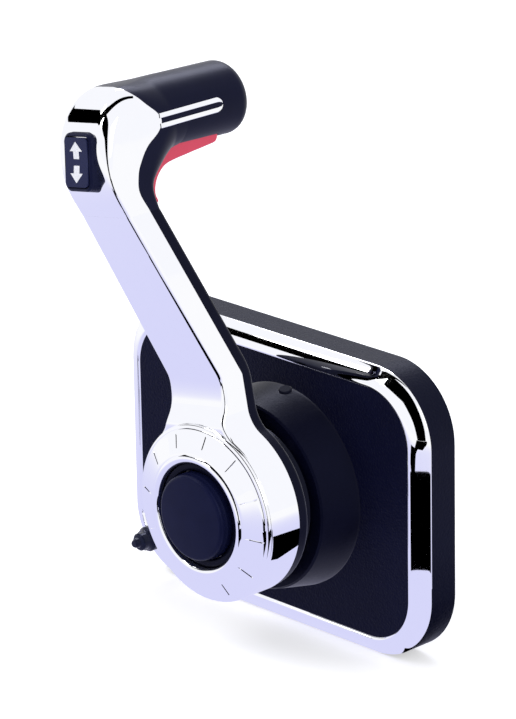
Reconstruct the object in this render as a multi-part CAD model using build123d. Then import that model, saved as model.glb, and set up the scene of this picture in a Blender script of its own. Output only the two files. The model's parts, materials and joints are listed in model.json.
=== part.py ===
from build123d import *
from math import atan, cos, degrees, radians, sin, tan
import os

os.makedirs("parts", exist_ok=True)

# Frame of the part: X across the panel, Z up, the face looks along -Y, the
# housing's back lies in the plane y = 0 and its centre is the origin.
# The lever is drawn upright about its own hub axis and then raked into place.

# ---------------------------------------------------------------- dimensions
# panel and housing
panel_w = 199.5
panel_h = 144.0
panel_r = 35.0
housing_depth = 15.7
wall = 3.0
web_t = 2.0
web_w = 17.0
flange_w = 14.0
flange_t = 3.2
back_t = 2.0
back_lap = 7.0
bezel_w = 9.6
bezel_rise = 6.8
bezel_edge = 0.3
ledge_t = 1.2
ledge_w = 2.6
face_depth = 21.5
face_t = 3.0
skirt_t = 2.4
mount_x = panel_w - 39.5
mount_z = panel_h - 40.0
mount_r = 3.0
mount_deep = 12.0
corner_boss_r = 7.5
groove_w = 2.6
groove_deep = 1.0
groove_inset = 3.4
screw_head_r = 3.4
screw_head_t = 2.2
screw_r = 1.7
fit_gap = 0.15
body_gap = 0.3

# hub axis and boss
hub_x = 9.3
hub_z = 0.0
boss_base_r = 50.0
boss_rim_r = 45.2
boss_front = 43.0
boss_wall = 3.4
boss_recess_r = 39.0
boss_recess = 2.5
boss_web_t = 4.0
boss_spigot_r = 44.0
boss_screw_pcd = 76.0
lug_r = 4.6
lens_r = 3.3
lens_angle = 6.0
lens_up = 3.6
lock_ring_in = 24.0
lock_ring_out = 36.0
lock_ring_t = 3.5
lock_head_r = 3.0
lock_shank_r = 1.5
lock_screw_len = 6.5
notch_w = 7.0
notch_deep = 4.5

# shaft and bearings
shaft_r = 8.0
shaft_run = 0.05
shaft_tail = 2.4
bush_wall = 2.2
bush_len = 11.0
bush_flange_r = 12.5
bush_flange_t = 1.2
sleeve_wall = 3.0
plate_t = 3.0
plate_front = 13.0
plate_r = 47.0
plate_rim = 4.5
rear_sleeve = 8.0
detent_r = 20.0
detent_t = 6.0
detent_front = 28.0
detent_notch_r = 4.3
detent_step = 62.0
roller_r = 4.5
roller_t = 5.0
roller_pin_r = 1.8
arm_len = 22.0
arm_t = 3.0
pivot_r = 2.5
magnet_r = 5.0
board_t = 1.0
board_gap = 0.6
circlip_t = 1.2

# engine-stop switch
stop_inset = 17.42
stop_reach = (panel_r - stop_inset) * cos(radians(45))
stop_x = -(panel_w / 2 - panel_r + stop_reach)
stop_z = -(panel_h / 2 - panel_r + stop_reach)
stop_collar_r = 6.2
stop_collar_len = 12.5
stop_thread_r = 3.4
stop_nut_r = 5.0
stop_nut_t = 3.0
stop_knob_r = 4.4
stop_tip_r = 2.2
stop_tip_out = 19.0
stop_travel = 3.0

# lever: side view heights are along the arm's own upright axis
rake = 10.0
hub_r = 43.5
hub_back = 55.0
hub_front = 73.0
cover_t = 7.0
cover_inset = 0.5
neck_r = 22.5
neck_wall = 2.5
arm_front_0 = 39.7
arm_back_0 = 25.8
cover_back_0 = 18.2
arm_slope = 0.457
arm_half_low = 19.0
arm_half_high = 16.3
arm_low_z = 45.0
arm_high_z = 150.0
neck_fillet = 15.0
ring_lip_r = 29.3
ring_lip = 80.4
ring_bore_r = 25.5
ring_bore_y = 78.0
groove_count = 12
button_r = 21.3
button_top = 84.6
button_edge = 79.6
button_skirt = 70.0
button_wall = 2.4
button_travel = 4.0
button_flange = 1.6
guide_front = 75.5
cup_floor = 62.0
nut_af = 19.0
nut_t = 5.0

# head, grip, switch and trigger
grip_r = 17.5
grip_axis_y = -100.0
grip_axis_z = 191.3
grip_droop = 2.0
grip_end_y = -23.0
grip_end_fillet = 6.0
cover_top = 161.8
inlay_h = 6.4
inlay_end_y = -43.0
inlay_deep = 1.6
rocker_w = 15.2
rocker_h = 22.6
frame_w = 18.4
frame_h = 26.4
frame_deep = 11.0
frame_draft = 7.0
switch_y = -119.2
switch_z = 178.0
switch_tilt = 8.5
switch_deep = 4.4
rocker_gap = 0.5
rocker_pivot = 3.0
rocker_pin_r = 1.1
trigger_half = 8.2
trigger_gap = 0.45
trigger_travel = 5.0
rod_r = 1.8
rod_offset = 26.0
rod_top = 158.6
lug_half = 4.0
lug_wall = 1.0
channel_half = 8.0
channel_deep = 6.0

arm_lean = degrees(atan(arm_slope))
along = Vector(0, -sin(radians(arm_lean)), cos(radians(arm_lean)))
inner_w = panel_w - 2 * bezel_w
inner_h = panel_h - 2 * bezel_w
inner_r = panel_r - bezel_w
bezel_front = housing_depth + bezel_rise


# ------------------------------------------------------------------- helpers
def front_plane(y):
    """Plane facing the operator at height y, with local x = X and local y = Z."""
    return Plane(origin=(0, y, 0), x_dir=(1, 0, 0), z_dir=(0, -1, 0))


def rounded_plate(width, height, radius, y_back, thick):
    """Rounded rectangle prism that grows towards the operator from y_back."""
    return extrude(front_plane(y_back) * RectangleRounded(width, height, radius), amount=thick)


def disc(radius, y_back, thick, x=0.0, z=0.0):
    """Round disc about an axis along Y."""
    return extrude(front_plane(y_back) * Pos(x, z) * Circle(radius), amount=thick)


def tube(r_out, r_in, y_back, thick, x=0.0, z=0.0):
    return disc(r_out, y_back, thick, x, z) - disc(r_in, y_back, thick, x, z)


def turned(points):
    """Solid of revolution about the Y axis from (radius, y) points."""
    return revolve(make_face(Polyline(*[(r, y, 0) for r, y in points], close=True)), Axis.Y)


def side_prism(outline, half):
    """Prism across X from a face drawn with (y, z) in Plane.YZ."""
    return extrude(Plane.YZ * outline, amount=half, both=True)


def side_face(*points):
    return make_face(Polyline(*points, close=True))


def at_hub(shape):
    """Moves a piece drawn about the Y axis onto the fixed hub axis."""
    return Pos(hub_x, 0, hub_z) * shape


def on_lever(shape):
    """Rakes a piece of the lever about the hub axis."""
    return Pos(hub_x, 0, hub_z) * Rot(0, -rake, 0) * shape


def ring_of(shape, count, start=0.0):
    """Copies of a piece about the Y axis."""
    return [Rot(0, start + 360.0 / count * i, 0) * shape for i in range(count)]


def screw(head_r, head_t, shank_r, length):
    """Pan-head screw along +Y -> -Y: the head's seat is at y = 0, the shank runs to -length."""
    head = turned([(0, 0), (head_r, 0), (head_r, head_t * 0.6), (head_r * 0.72, head_t), (0, head_t)])
    recess = Pos(0, head_t, 0) * Box(head_r, head_t * 0.9, 0.9)
    return head + disc(shank_r, 0, length) - recess


parts = {}


# ------------------------------------------------------------------- housing
def make_housing():
    body = rounded_plate(panel_w, panel_h, panel_r, 0, housing_depth)
    hollow = rounded_plate(panel_w - 2 * wall, panel_h - 2 * wall, panel_r - wall,
                           -flange_t, housing_depth - flange_t - web_t)
    mouth = rounded_plate(panel_w - 2 * web_w, panel_h - 2 * web_w, panel_r - web_w,
                          -flange_t, housing_depth)
    rear = rounded_plate(panel_w - 2 * flange_w, panel_h - 2 * flange_w, panel_r - flange_w,
                         0, housing_depth)
    body = body - hollow - mouth - rear
    lap = rounded_plate(panel_w - 2 * (flange_w - back_lap), panel_h - 2 * (flange_w - back_lap),
                        panel_r - flange_w + back_lap, 0, back_t)
    groove = (rounded_plate(panel_w - 2 * groove_inset, panel_h - 2 * groove_inset,
                            panel_r - groove_inset, 0, groove_deep)
              - rounded_plate(panel_w - 2 * (groove_inset + groove_w),
                              panel_h - 2 * (groove_inset + groove_w),
                              panel_r - groove_inset - groove_w, 0, groove_deep))
    body = body - lap
    for x in (-mount_x / 2, mount_x / 2):
        for z in (-mount_z / 2, mount_z / 2):
            body = body + disc(corner_boss_r, 0, housing_depth, x, z)
            body = body - disc(mount_r, 0, mount_deep, x, z)
    body = body - groove
    for x in (-mount_x / 2, mount_x / 2):
        for z in (-mount_z / 2, mount_z / 2):
            body = body + tube(corner_boss_r, mount_r, 0, flange_t, x, z)
    for x, z in panel_screw_spots:
        body = body - disc(screw_r + 0.25, 0, housing_depth + 1, x, z)
    for x, z in back_screw_spots:
        body = body - disc(screw_r - 0.3, 0, flange_t + 1, x, z)
    return body - disc(stop_nut_r + 1.0, -flange_t - 1, housing_depth, stop_x, stop_z)


panel_screw_spots = [(-46.0, panel_h / 2 - bezel_w - 5.4), (46.0, panel_h / 2 - bezel_w - 5.4),
                     (-46.0, -panel_h / 2 + bezel_w + 5.4), (46.0, -panel_h / 2 + bezel_w + 5.4)]
back_row = panel_h / 2 - flange_w + back_lap / 2
back_screw_spots = [(-60.0, back_row), (0.0, back_row), (60.0, back_row),
                    (-60.0, -back_row), (0.0, -back_row), (60.0, -back_row)]
grommet_x = -52.0
grommet_z = -34.0
grommet_r = 9.0


def make_gasket():
    gap = 0.1
    outer = rounded_plate(panel_w - 2 * (groove_inset + gap), panel_h - 2 * (groove_inset + gap),
                          panel_r - groove_inset - gap, 0, groove_deep)
    inner = rounded_plate(panel_w - 2 * (groove_inset + groove_w - gap),
                          panel_h - 2 * (groove_inset + groove_w - gap),
                          panel_r - groove_inset - groove_w + gap, 0, groove_deep)
    ring = outer - inner
    for x in (-mount_x / 2, mount_x / 2):
        for z in (-mount_z / 2, mount_z / 2):
            ring = ring - disc(corner_boss_r + gap, 0, groove_deep, x, z)
    return ring


def make_back_plate():
    lap = flange_w - back_lap + fit_gap
    plate = rounded_plate(panel_w - 2 * lap, panel_h - 2 * lap, panel_r - lap, 0, back_t)
    for x in (-mount_x / 2, mount_x / 2):
        for z in (-mount_z / 2, mount_z / 2):
            plate = plate - disc(corner_boss_r + fit_gap, 0, back_t, x, z)
    for x, z in back_screw_spots:
        plate = plate - disc(screw_r + 0.2, 0, back_t, x, z)
        plate = plate - extrude(front_plane(0) * Pos(x, z) * Circle(screw_r + 1.4), amount=1.1, taper=35)
    return plate - disc(grommet_r, 0, back_t, grommet_x, grommet_z)


def make_grommet():
    body = tube(grommet_r - fit_gap, 4.2, 0.0, back_t + 1.4, grommet_x, grommet_z)
    return body + tube(grommet_r + 1.6, 4.2, -back_t, 1.6, grommet_x, grommet_z)


def make_back_screws():
    out = []
    for x, z in back_screw_spots:
        head = extrude(front_plane(0) * Circle(screw_r + 1.25), amount=1.1, taper=38)
        shank = disc(screw_r - 0.35, 0, back_t + flange_t - back_t - 0.1)
        slot = Box(2.4, 0.8, 0.7)
        out.append(Pos(x, 0, z) * (head + shank - slot))
    return out


# --------------------------------------------------------------------- bezel
def rim(profile):
    """Rounded-rectangle rim from (inset, y) points: straight runs and quarter turns."""
    corner_w = panel_w / 2 - panel_r
    corner_h = panel_h / 2 - panel_r
    pieces = []
    section = Polyline(*[(panel_r - inset, y, 0) for inset, y in profile], close=True)
    quarter = revolve(make_face(section), Axis.Y, revolution_arc=90)
    for sx, sz, turn in ((1, -1, 0), (1, 1, -90), (-1, 1, -180), (-1, -1, -270)):
        piece = Pos(sx * corner_w, 0, sz * corner_h) * Rot(0, turn, 0) * quarter
        box = piece.bounding_box()
        if (box.max.X + box.min.X) / 2 * sx < corner_w * 0.98:
            piece = Pos(sx * corner_w, 0, sz * corner_h) * Rot(0, turn + 90, 0) * quarter
        pieces.append(piece)
    for side in (1, -1):
        run = make_face(Polyline(*[(side * (panel_w / 2 - inset), y, 0) for inset, y in profile], close=True))
        pieces.append(extrude(run, amount=corner_h, both=True))
        run = make_face(Polyline(*[(0, y, side * (panel_h / 2 - inset)) for inset, y in profile], close=True))
        pieces.append(extrude(run, amount=corner_w, both=True))
    whole = pieces[0]
    for piece in pieces[1:]:
        whole = whole + piece
    return whole


def make_bezel():
    top = -bezel_front
    base = -housing_depth
    return rim([(0, base), (0, base - bezel_edge), (bezel_w * 0.1, base - bezel_rise * 0.22),
                (bezel_w * 0.3, base - bezel_rise * 0.53), (bezel_w * 0.6, base - bezel_rise * 0.85),
                (bezel_w - 0.9, top), (bezel_w, top + 0.5), (bezel_w, base - ledge_t),
                (bezel_w + ledge_w, base - ledge_t), (bezel_w + ledge_w, base)])


# ---------------------------------------------------------------- face panel
def make_face_panel():
    gap = fit_gap
    outer_w, outer_h, outer_r = inner_w - 2 * gap, inner_h - 2 * gap, inner_r - gap
    base = -housing_depth - ledge_t
    depth = face_depth - housing_depth - ledge_t
    plate = rounded_plate(outer_w, outer_h, outer_r, base, depth)
    front_edges = plate.faces().sort_by(Axis.Y)[0].edges()
    plate = fillet(front_edges, 0.6)
    plate = plate - rounded_plate(outer_w - 2 * skirt_t, outer_h - 2 * skirt_t, outer_r - skirt_t,
                                  base, depth - face_t)
    for x, z in panel_screw_spots:
        plate = plate + disc(4.4, base, depth - face_t, x, z)
        plate = plate - disc(screw_r - 0.1, base, depth - 1.6, x, z)
    plate = plate - at_hub(disc(boss_spigot_r + fit_gap, base, depth + 1))
    plate = plate - disc(stop_thread_r + fit_gap, base, depth + 1, stop_x, stop_z)
    return plate


def make_panel_screws():
    seat = -housing_depth + web_t
    return [Pos(x, seat, z) * screw(screw_head_r, screw_head_t, screw_r - 0.15, 6.0)
            for x, z in panel_screw_spots]


# ---------------------------------------------------------------------- boss
boss_slope = (boss_base_r - boss_rim_r) / (boss_front - face_depth)
recess_y = -(boss_front - boss_recess)
web_back = recess_y + boss_web_t


def make_boss():
    outer = turned([(0, -face_depth), (boss_base_r, -face_depth), (boss_base_r, -face_depth - 1.2),
                    (boss_rim_r + 0.9, -boss_front + 1.0), (boss_rim_r, -boss_front), (0, -boss_front)])
    outer = outer + disc(boss_spigot_r, -face_depth + face_t, face_t)
    recess = disc(boss_recess_r, recess_y, boss_recess)
    hollow = turned([(0, -face_depth + face_t), (boss_spigot_r - boss_wall, -face_depth + face_t),
                     (boss_spigot_r - boss_wall, -face_depth),
                     (boss_rim_r - boss_wall - 1.2, web_back), (0, web_back)])
    boss = outer - recess - hollow
    sleeve_r = shaft_r + bush_wall + sleeve_wall
    boss = boss + disc(sleeve_r, web_back + 6.0, 6.0)
    boss = boss - disc(shaft_r + bush_wall, 0, boss_front)
    boss = boss - disc(bush_flange_r + 0.1, recess_y + bush_flange_t, bush_flange_t)
    for spot in boss_screw_spots():
        boss = boss + spot * disc(lug_r, -face_depth + face_t, 9.0)
        boss = boss - spot * disc(screw_r - 0.1, -face_depth + face_t, 8.0)
    for spot in lock_screw_spots():
        boss = boss - spot * disc(lock_shank_r + 0.02, recess_y + lock_screw_len - lock_ring_t + 0.3, 5.0)
    seat = lens_frame() * Circle(lens_r + 0.1)
    return boss - Rot(0, lens_angle, 0) * (extrude(seat, amount=-2.0) + extrude(seat, amount=3.0))


def boss_screw_spots():
    return ring_of(Pos(boss_screw_pcd / 2, 0, 0), 4)


def lens_frame():
    """Plane of the small round window at the top of the boss's slope, near its foot."""
    tilt = degrees(atan(boss_slope))
    r_here = boss_base_r - boss_slope * lens_up
    out = Vector(0, -sin(radians(tilt)), cos(radians(tilt)))
    return Plane(origin=(0, -face_depth - lens_up, r_here), x_dir=(1, 0, 0), z_dir=out)


def make_lens():
    disk = extrude(lens_frame() * Circle(lens_r), amount=1.4)
    disk = chamfer(disk.edges().sort_by_distance(lens_frame().origin)[-1], 0.5)
    return Rot(0, lens_angle, 0) * (disk + extrude(lens_frame() * Circle(lens_r), amount=-1.9))


def make_lock_ring():
    ring = tube(lock_ring_out, lock_ring_in, recess_y, lock_ring_t)
    notch = Pos(0, 0, lock_ring_out) * Box(notch_w, 40, 2 * notch_deep)
    notch = Pos(0, recess_y - 15, 0) * notch
    ring = ring - Rot(0, -rake, 0) * notch
    for spot in lock_screw_spots():
        ring = ring - spot * countersunk(0.1)
    return ring


def lock_screw_spots():
    return ring_of(Pos((lock_ring_in + lock_ring_out) / 2, 0, 0), 3, 30)


def countersunk(gap):
    """Countersunk screw flush with the lock ring's face, its shank running into the boss."""
    top = recess_y - lock_ring_t
    head, shank = lock_head_r + gap, lock_shank_r + gap
    return turned([(0, top), (head, top), (shank, top + head - shank), (shank, top + lock_screw_len),
                   (0, top + lock_screw_len)])


def make_lock_screws():
    slot = Pos(0, recess_y - lock_ring_t, 0) * Box(2 * lock_head_r, 1.4, 0.8)
    return [spot * (countersunk(0.0) - slot) for spot in lock_screw_spots()]


# ----------------------------------------------------------- shaft and bushes
def make_front_bush():
    body = tube(shaft_r + bush_wall - 0.02, shaft_r + shaft_run, recess_y + bush_len, bush_len)
    return body + tube(bush_flange_r, shaft_r + shaft_run, recess_y + bush_flange_t, bush_flange_t)


def make_bearing_plate():
    """Rear cup: a disc with a rim against the panel and four pillars under the boss."""
    y_back = -plate_front + plate_t
    seat = face_depth - face_t
    plate = disc(plate_r, y_back, plate_t) + tube(plate_r, plate_r - plate_rim, y_back, seat + y_back)
    for spot in boss_screw_spots():
        plate = plate + spot * disc(lug_r, y_back, seat + y_back)
        plate = plate - spot * disc(screw_r + 0.2, 0, 40)
    plate = plate + disc(shaft_r + bush_wall + sleeve_wall, y_back, rear_sleeve + plate_t)
    plate = plate - disc(shaft_r + bush_wall, 0, 40)
    return plate - disc(pivot_r, 0, 40, pivot_at[0], pivot_at[1])


def make_boss_screws():
    seat = -plate_front + plate_t
    return [spot * Pos(0, seat, 0) * screw(screw_head_r, screw_head_t, screw_r - 0.15, 15.0)
            for spot in boss_screw_spots()]


def make_rear_bush():
    y_back = -plate_front + plate_t
    return tube(shaft_r + bush_wall - 0.02, shaft_r + shaft_run, y_back, bush_len)


# pivot and roller of the detent arm, in the hub's own frame
roller_at = (0.0, -(detent_r + roller_r + body_gap))
pivot_at = (arm_len, -(detent_r + roller_r + body_gap))


def make_detent_pin():
    y_back = -plate_front + plate_t
    pin = disc(pivot_r - 0.05, y_back, -arm_back_y + arm_t + 0.8 + y_back, *pivot_at)
    collar = disc(pivot_r + 1.8, -plate_front, -arm_back_y - plate_front - 0.3, *pivot_at)
    head = disc(pivot_r + 1.2, arm_back_y - arm_t - 0.3, 1.0, *pivot_at)
    return pin + collar + head


wheel_back = -(detent_front - detent_t)
arm_back_y = wheel_back + 0.3 + arm_t


def make_detent_arm():
    bar = SlotCenterToCenter(arm_len, 8.4)
    arm = extrude(front_plane(arm_back_y) * Pos(arm_len / 2, roller_at[1]) * bar, amount=arm_t)
    arm = arm - disc(pivot_r + 0.03, arm_back_y, arm_t, *pivot_at)
    return arm - disc(roller_pin_r, arm_back_y, arm_t, *roller_at)


def make_roller_pin():
    return disc(roller_pin_r - 0.03, arm_back_y, arm_t + roller_t + 0.8, *roller_at)


def make_roller():
    return tube(roller_r, roller_pin_r + 0.03, arm_back_y - arm_t - 0.3, roller_t, *roller_at)


def make_detent_wheel():
    y_back = -(detent_front - detent_t)
    wheel = disc(detent_r, y_back, detent_t)
    for angle in (0.0, detent_step, -detent_step):
        notch = Rot(0, angle, 0) * Pos(0, 0, -(detent_r + detent_notch_r - 1.6)) * \
            disc(detent_notch_r, y_back, detent_t)
        wheel = wheel - notch
    for angle in range(60, 301, 48):
        wheel = wheel - Rot(0, angle + 180, 0) * Pos(0, 0, -15.5) * disc(3.4, y_back, detent_t)
    return wheel - disc(shaft_r, y_back, detent_t)


def make_shaft():
    front = -cup_floor - nut_t - 3.0
    rear = -plate_front + plate_t + shaft_tail
    shaft = disc(shaft_r, rear, rear - front)
    shaft = shaft - tube(shaft_r, shaft_r - 0.8, rear - 0.8, circlip_t)
    return shaft - tube(shaft_r + 1, shaft_r - 1.6, -cup_floor, 30)


def make_circlip():
    rear = -plate_front + plate_t + shaft_tail
    ring = tube(shaft_r + 2.2, shaft_r - 0.75, rear - 0.85, circlip_t - 0.1)
    gap = Pos(0, rear - 1, shaft_r) * Box(3.2, 8, 10)
    return ring - gap


def make_magnet():
    y_back = -back_t - board_t - board_gap
    return disc(magnet_r, y_back, y_back + plate_front - plate_t - shaft_tail)


def make_washer():
    return tube(13.0, shaft_r - 1.5, -cup_floor, 1.5)


def make_nut():
    hexagon = RegularPolygon(nut_af / 2, 6, major_radius=False)
    nut = extrude(front_plane(-cup_floor - 1.5) * hexagon, amount=nut_t)
    cone = turned([(0, -cup_floor - 1.5), (12.6, -cup_floor - 1.5), (12.6, -cup_floor - nut_t + 0.4),
                   (9.6, -cup_floor - nut_t - 1.5), (0, -cup_floor - nut_t - 1.5)])
    return (nut & cone) - disc(shaft_r - 1.55, -cup_floor - 1.5, nut_t)


# -------------------------------------------------------------- circuit board
def make_board():
    board = extrude(front_plane(-back_t) * Rectangle(46, 34), amount=board_t)
    for x, z in ((-19, 13), (19, 13), (-19, -13), (19, -13)):
        board = board - disc(1.3, 0, 20, x, z)
    plug = extrude(front_plane(-back_t - board_t) * Pos(-14, -4) * Rectangle(7, 13), amount=3.4)
    slot = extrude(front_plane(-back_t - board_t - 1.2) * Pos(-14, -4) * Rectangle(4.6, 10.6), amount=2.2)
    return board + plug - slot


# ---------------------------------------------------------------- stop switch
def make_stop_collar():
    y0 = -face_depth
    collar = turned([(0, y0), (stop_collar_r + 0.5, y0), (stop_collar_r + 0.5, y0 - 1.6),
                     (stop_collar_r, y0 - 2.2), (stop_collar_r, y0 - stop_collar_len + 2.6),
                     (stop_collar_r - 1.0, y0 - stop_collar_len + 1.2),
                     (stop_knob_r + 0.6, y0 - stop_collar_len), (0, y0 - stop_collar_len)])
    collar = collar + disc(stop_thread_r, y0 + face_t + stop_nut_t + 0.8, face_t + stop_nut_t + 0.8)
    bore = disc(stop_tip_r + 0.05, y0 + 12, 40)
    cup = disc(stop_knob_r + 0.3, y0 - stop_collar_len + 5.0, 5.0)
    return Pos(stop_x, 0, stop_z) * (collar - bore - cup)


def make_stop_nut():
    nut = disc(stop_nut_r, -face_depth + face_t + stop_nut_t, stop_nut_t)
    for turn in (0, 90):
        nut = nut - Pos(0, -face_depth + face_t + stop_nut_t, 0) * Rot(0, turn, 0) * Box(20, 2.2, 1.6)
    nut = nut - disc(stop_thread_r + 0.02, -face_depth + face_t + stop_nut_t, stop_nut_t)
    return Pos(stop_x, 0, stop_z) * nut


def make_stop_knob():
    y0 = -face_depth
    cup = y0 - stop_collar_len + 5.0
    rest = cup - stop_travel - 0.4
    tip = y0 - stop_tip_out
    shape = [(0, rest), (stop_knob_r, rest), (stop_knob_r, rest - 4.2), (stop_knob_r - 0.7, rest - 4.9),
             (stop_tip_r + 0.3, rest - 5.2), (stop_tip_r, tip + 1.0), (stop_tip_r - 0.6, tip), (0, tip)]
    stem_end = y0 + face_t + 1.0
    knob = turned(shape) + disc(stop_tip_r, stem_end, stem_end - rest)
    return Pos(stop_x, 0, stop_z) * knob


# --------------------------------------------------------------------- lever
def lever_outline(inset=0.0):
    """Front view: hub circle, tapered arm and the concave necks between them."""
    low, high = arm_half_low - inset, arm_half_high - inset
    grow = (arm_half_low - arm_half_high) / (arm_high_z - arm_low_z)
    foot = low + grow * arm_low_z
    top_z = grip_axis_z - 2.0
    arm = make_face(Polyline((-foot, 0), (foot, 0), (high, arm_high_z), (grip_r - 0.6 - inset, top_z - 14),
                             (grip_r - 0.6 - inset, top_z), (-grip_r + 0.6 + inset, top_z),
                             (-grip_r + 0.6 + inset, top_z - 14), (-high, arm_high_z), close=True))
    shape = Circle(hub_r - inset) + arm
    necks = [v for v in shape.vertices() if 30 < v.Y < 46]
    return fillet(necks, neck_fillet)


def arm_y(base, z):
    """y of a line that runs up the lever's side view."""
    return -base - arm_slope * z


def along_arm(base, z):
    return (arm_y(base, z), z)


def head_split():
    """Edge between the chrome head and the black grip in side view, from top to underside."""
    return [(-98.6, 208.9), (-95.4, 202.8), (-90.0, 197.4), (-84.0, 193.6),
            (-80.6, 189.6), (-83.4, 184.8), (-90.0, 180.6), (-95.8, 174.4), (-98.9, 168.0)]


def shell_side():
    """Side view of the chrome casting."""
    valley_z = 66.0
    start = along_arm(arm_front_0, valley_z)
    shoulder = along_arm(arm_front_0, arm_high_z)
    seat_z = (hub_back - arm_back_0) / arm_slope
    low = hub_r + 3
    lines = [Line((-hub_back, -low), (-hub_front, -low)), Line((-hub_front, -low), (-hub_front, 41.0)),
             Spline((-hub_front, 41.0), (-69.9, 48.4), (-68.3, 56.6), start,
                    tangents=[(0, 1), (-arm_slope, 1)]),
             Line(start, shoulder),
             Spline(shoulder, (-113.7, 166.5), (-114.6, 177.5), (-111.8, 189.0), (-105.8, 199.8),
                    head_split()[0], tangents=[(-arm_slope, 1), (1, 0.12)])]
    split = head_split()
    lines.append(Spline(*split, tangents=[(0.25, -1), (-0.2, -1)]))
    heel = along_arm(arm_back_0, 162.0)
    lines.append(Line(split[-1], heel))
    lines.append(Line(heel, (-hub_back, seat_z)))
    lines.append(Line((-hub_back, seat_z), (-hub_back, -low)))
    return make_face(Wire(Curve() + lines))


def grip_path(y):
    """Height of the grip's axis at y."""
    return grip_axis_z - tan(radians(grip_droop)) * (y - grip_axis_y)


def grip_tube(radius, y_start, y_end):
    run = Vector(0, cos(radians(grip_droop)), -sin(radians(grip_droop)))
    plane = Plane(origin=(0, y_start, grip_path(y_start)), x_dir=(1, 0, 0), z_dir=run)
    return extrude(plane * Circle(radius), amount=(y_end - y_start) / cos(radians(grip_droop)))


def rocker_plane(depth=0.0):
    """Plane of the switch face, with z pointing out of the head."""
    out = Vector(0, -cos(radians(switch_tilt)), sin(radians(switch_tilt)))
    origin = Vector(0, switch_y, switch_z) + out * (-depth)
    return Plane(origin=origin, x_dir=(1, 0, 0), z_dir=out)


def make_shell():
    block = extrude(front_plane(0) * lever_outline(), amount=130)
    block = block + grip_tube(grip_r + 0.1, -130, -70)
    shell = block & side_prism(shell_side(), 60)
    ridge = []
    for edge in shell.edges():
        mid = edge @ 0.5
        on_line = abs(mid.Y - arm_y(arm_front_0, mid.Z)) < 0.3
        if on_line and 68 < mid.Z < 148 and edge.length > 40:
            ridge.append(edge)
    shell = fillet(ridge, 2.6)
    rear_z0, rear_z1 = 66.0, 164.0
    channel = side_face(along_arm(arm_back_0 - 4, rear_z0), along_arm(arm_back_0 - 4, rear_z1),
                        along_arm(arm_back_0 + channel_deep, rear_z1),
                        along_arm(arm_back_0 + channel_deep, rear_z0))
    shell = shell - side_prism(channel, channel_half)
    shell = shell - disc(shaft_r + shaft_run, 0, 100)
    shell = shell - disc(ring_bore_r + 1.5, -cup_floor, 30)
    for spot in hub_screw_spots():
        shell = shell - spot * disc(screw_r - 0.1, -hub_back, 8.0)
    for z in cover_screw_z:
        shell = shell - cover_hole(z, screw_r - 0.3, 7.0)
    shell = shell - switch_pocket()
    shell = shell - make_trigger_space()
    return shell - Pos(0, -hub_back, 61.0) * Box(7.0, 6.6, 22.0)


def hub_screw_spots():
    return ring_of(Pos(34.0, 0, 0), 4, 45)


cover_screw_z = (78.0, 112.0, 146.0)


def cover_hole(z, radius, deep):
    """Hole square to the arm's back at height z, from behind the cover inwards."""
    out = Vector(0, cos(radians(arm_lean)), sin(radians(arm_lean)))
    start = Vector(0, arm_y(cover_back_0, z), z) + out * 2.0
    plane = Plane(origin=start, x_dir=(1, 0, 0), z_dir=out)
    long = (cover_back_0 - arm_back_0) * cos(radians(arm_lean))
    return Pos(11.6, 0, 0) * extrude(plane * Circle(radius), amount=-(abs(long) + 2.0 + deep))


def cover_side():
    """Side view of the black rear moulding: hub disc, strip and the foot of the bend."""
    low = hub_r + 3
    back = hub_back - cover_t
    seat_z = (hub_back - arm_back_0) / arm_slope
    turn_z = (back - cover_back_0) / arm_slope
    foot = (-back, turn_z - 6)
    heel = along_arm(cover_back_0, turn_z + 7)
    knee = along_arm(cover_back_0, 149.0)
    lines = [Line((-back, -low), (-hub_back, -low)), Line((-hub_back, -low), (-hub_back, seat_z)),
             Line((-hub_back, seat_z), along_arm(arm_back_0, cover_top)),
             Line(along_arm(arm_back_0, cover_top), (-88.6, cover_top)),
             Spline((-88.6, cover_top), (-89.1, 156.0), knee, tangents=[(-0.2, -1), (arm_slope, -1)]),
             Line(knee, heel), Spline(heel, foot, tangents=[(arm_slope, -1), (0, -1)]),
             Line(foot, (-back, -low))]
    return make_face(Wire(Curve() + lines))


def make_cover():
    cover = extrude(front_plane(0) * lever_outline(cover_inset), amount=130) & side_prism(cover_side(), 60)
    cover = cover - disc(neck_r - neck_wall, 0, 100)
    rim_edges = []
    for edge in cover.edges():
        mid = edge @ 0.5
        on_line = abs(mid.Y - arm_y(cover_back_0, mid.Z)) < 0.3
        if on_line and 72 < mid.Z < 150 and edge.length > 40:
            rim_edges.append(edge)
    cover = fillet(rim_edges, 2.4)
    slot = side_face(along_arm(rod_offset - 3.0, 50.0), along_arm(rod_offset - 3.0, 163.0),
                     along_arm(rod_offset + 8.0, 163.0), along_arm(rod_offset + 8.0, 50.0))
    cover = cover - side_prism(slot, rod_r + 0.7)
    pocket = Pos(0, -hub_back + cover_t, 47.0) * Box(6.6, 7.4, 36.0)
    cover = cover - pocket
    cover = cover - make_trigger_space()
    cover = cover + tube(neck_r, neck_r - neck_wall, -boss_front + boss_recess - 0.8,
                         hub_back - boss_front + boss_recess - 0.8)
    for spot in hub_screw_spots():
        cover = cover - spot * disc(screw_r + 0.2, 0, 60)
        cover = cover - spot * disc(screw_head_r + 0.3, -hub_back + cover_t, 2.8)
    for z in cover_screw_z:
        cover = cover - cover_hole(z, screw_r + 0.1, 0.0)
        cover = cover - cover_hole(z, screw_head_r - 0.5, -5.2)
    return cover


def make_hub_screws():
    seat = -hub_back + cover_t - 2.8
    return [spot * Pos(0, seat, 0) * screw(screw_head_r, screw_head_t, screw_r - 0.15, 8.5)
            for spot in hub_screw_spots()]


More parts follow.
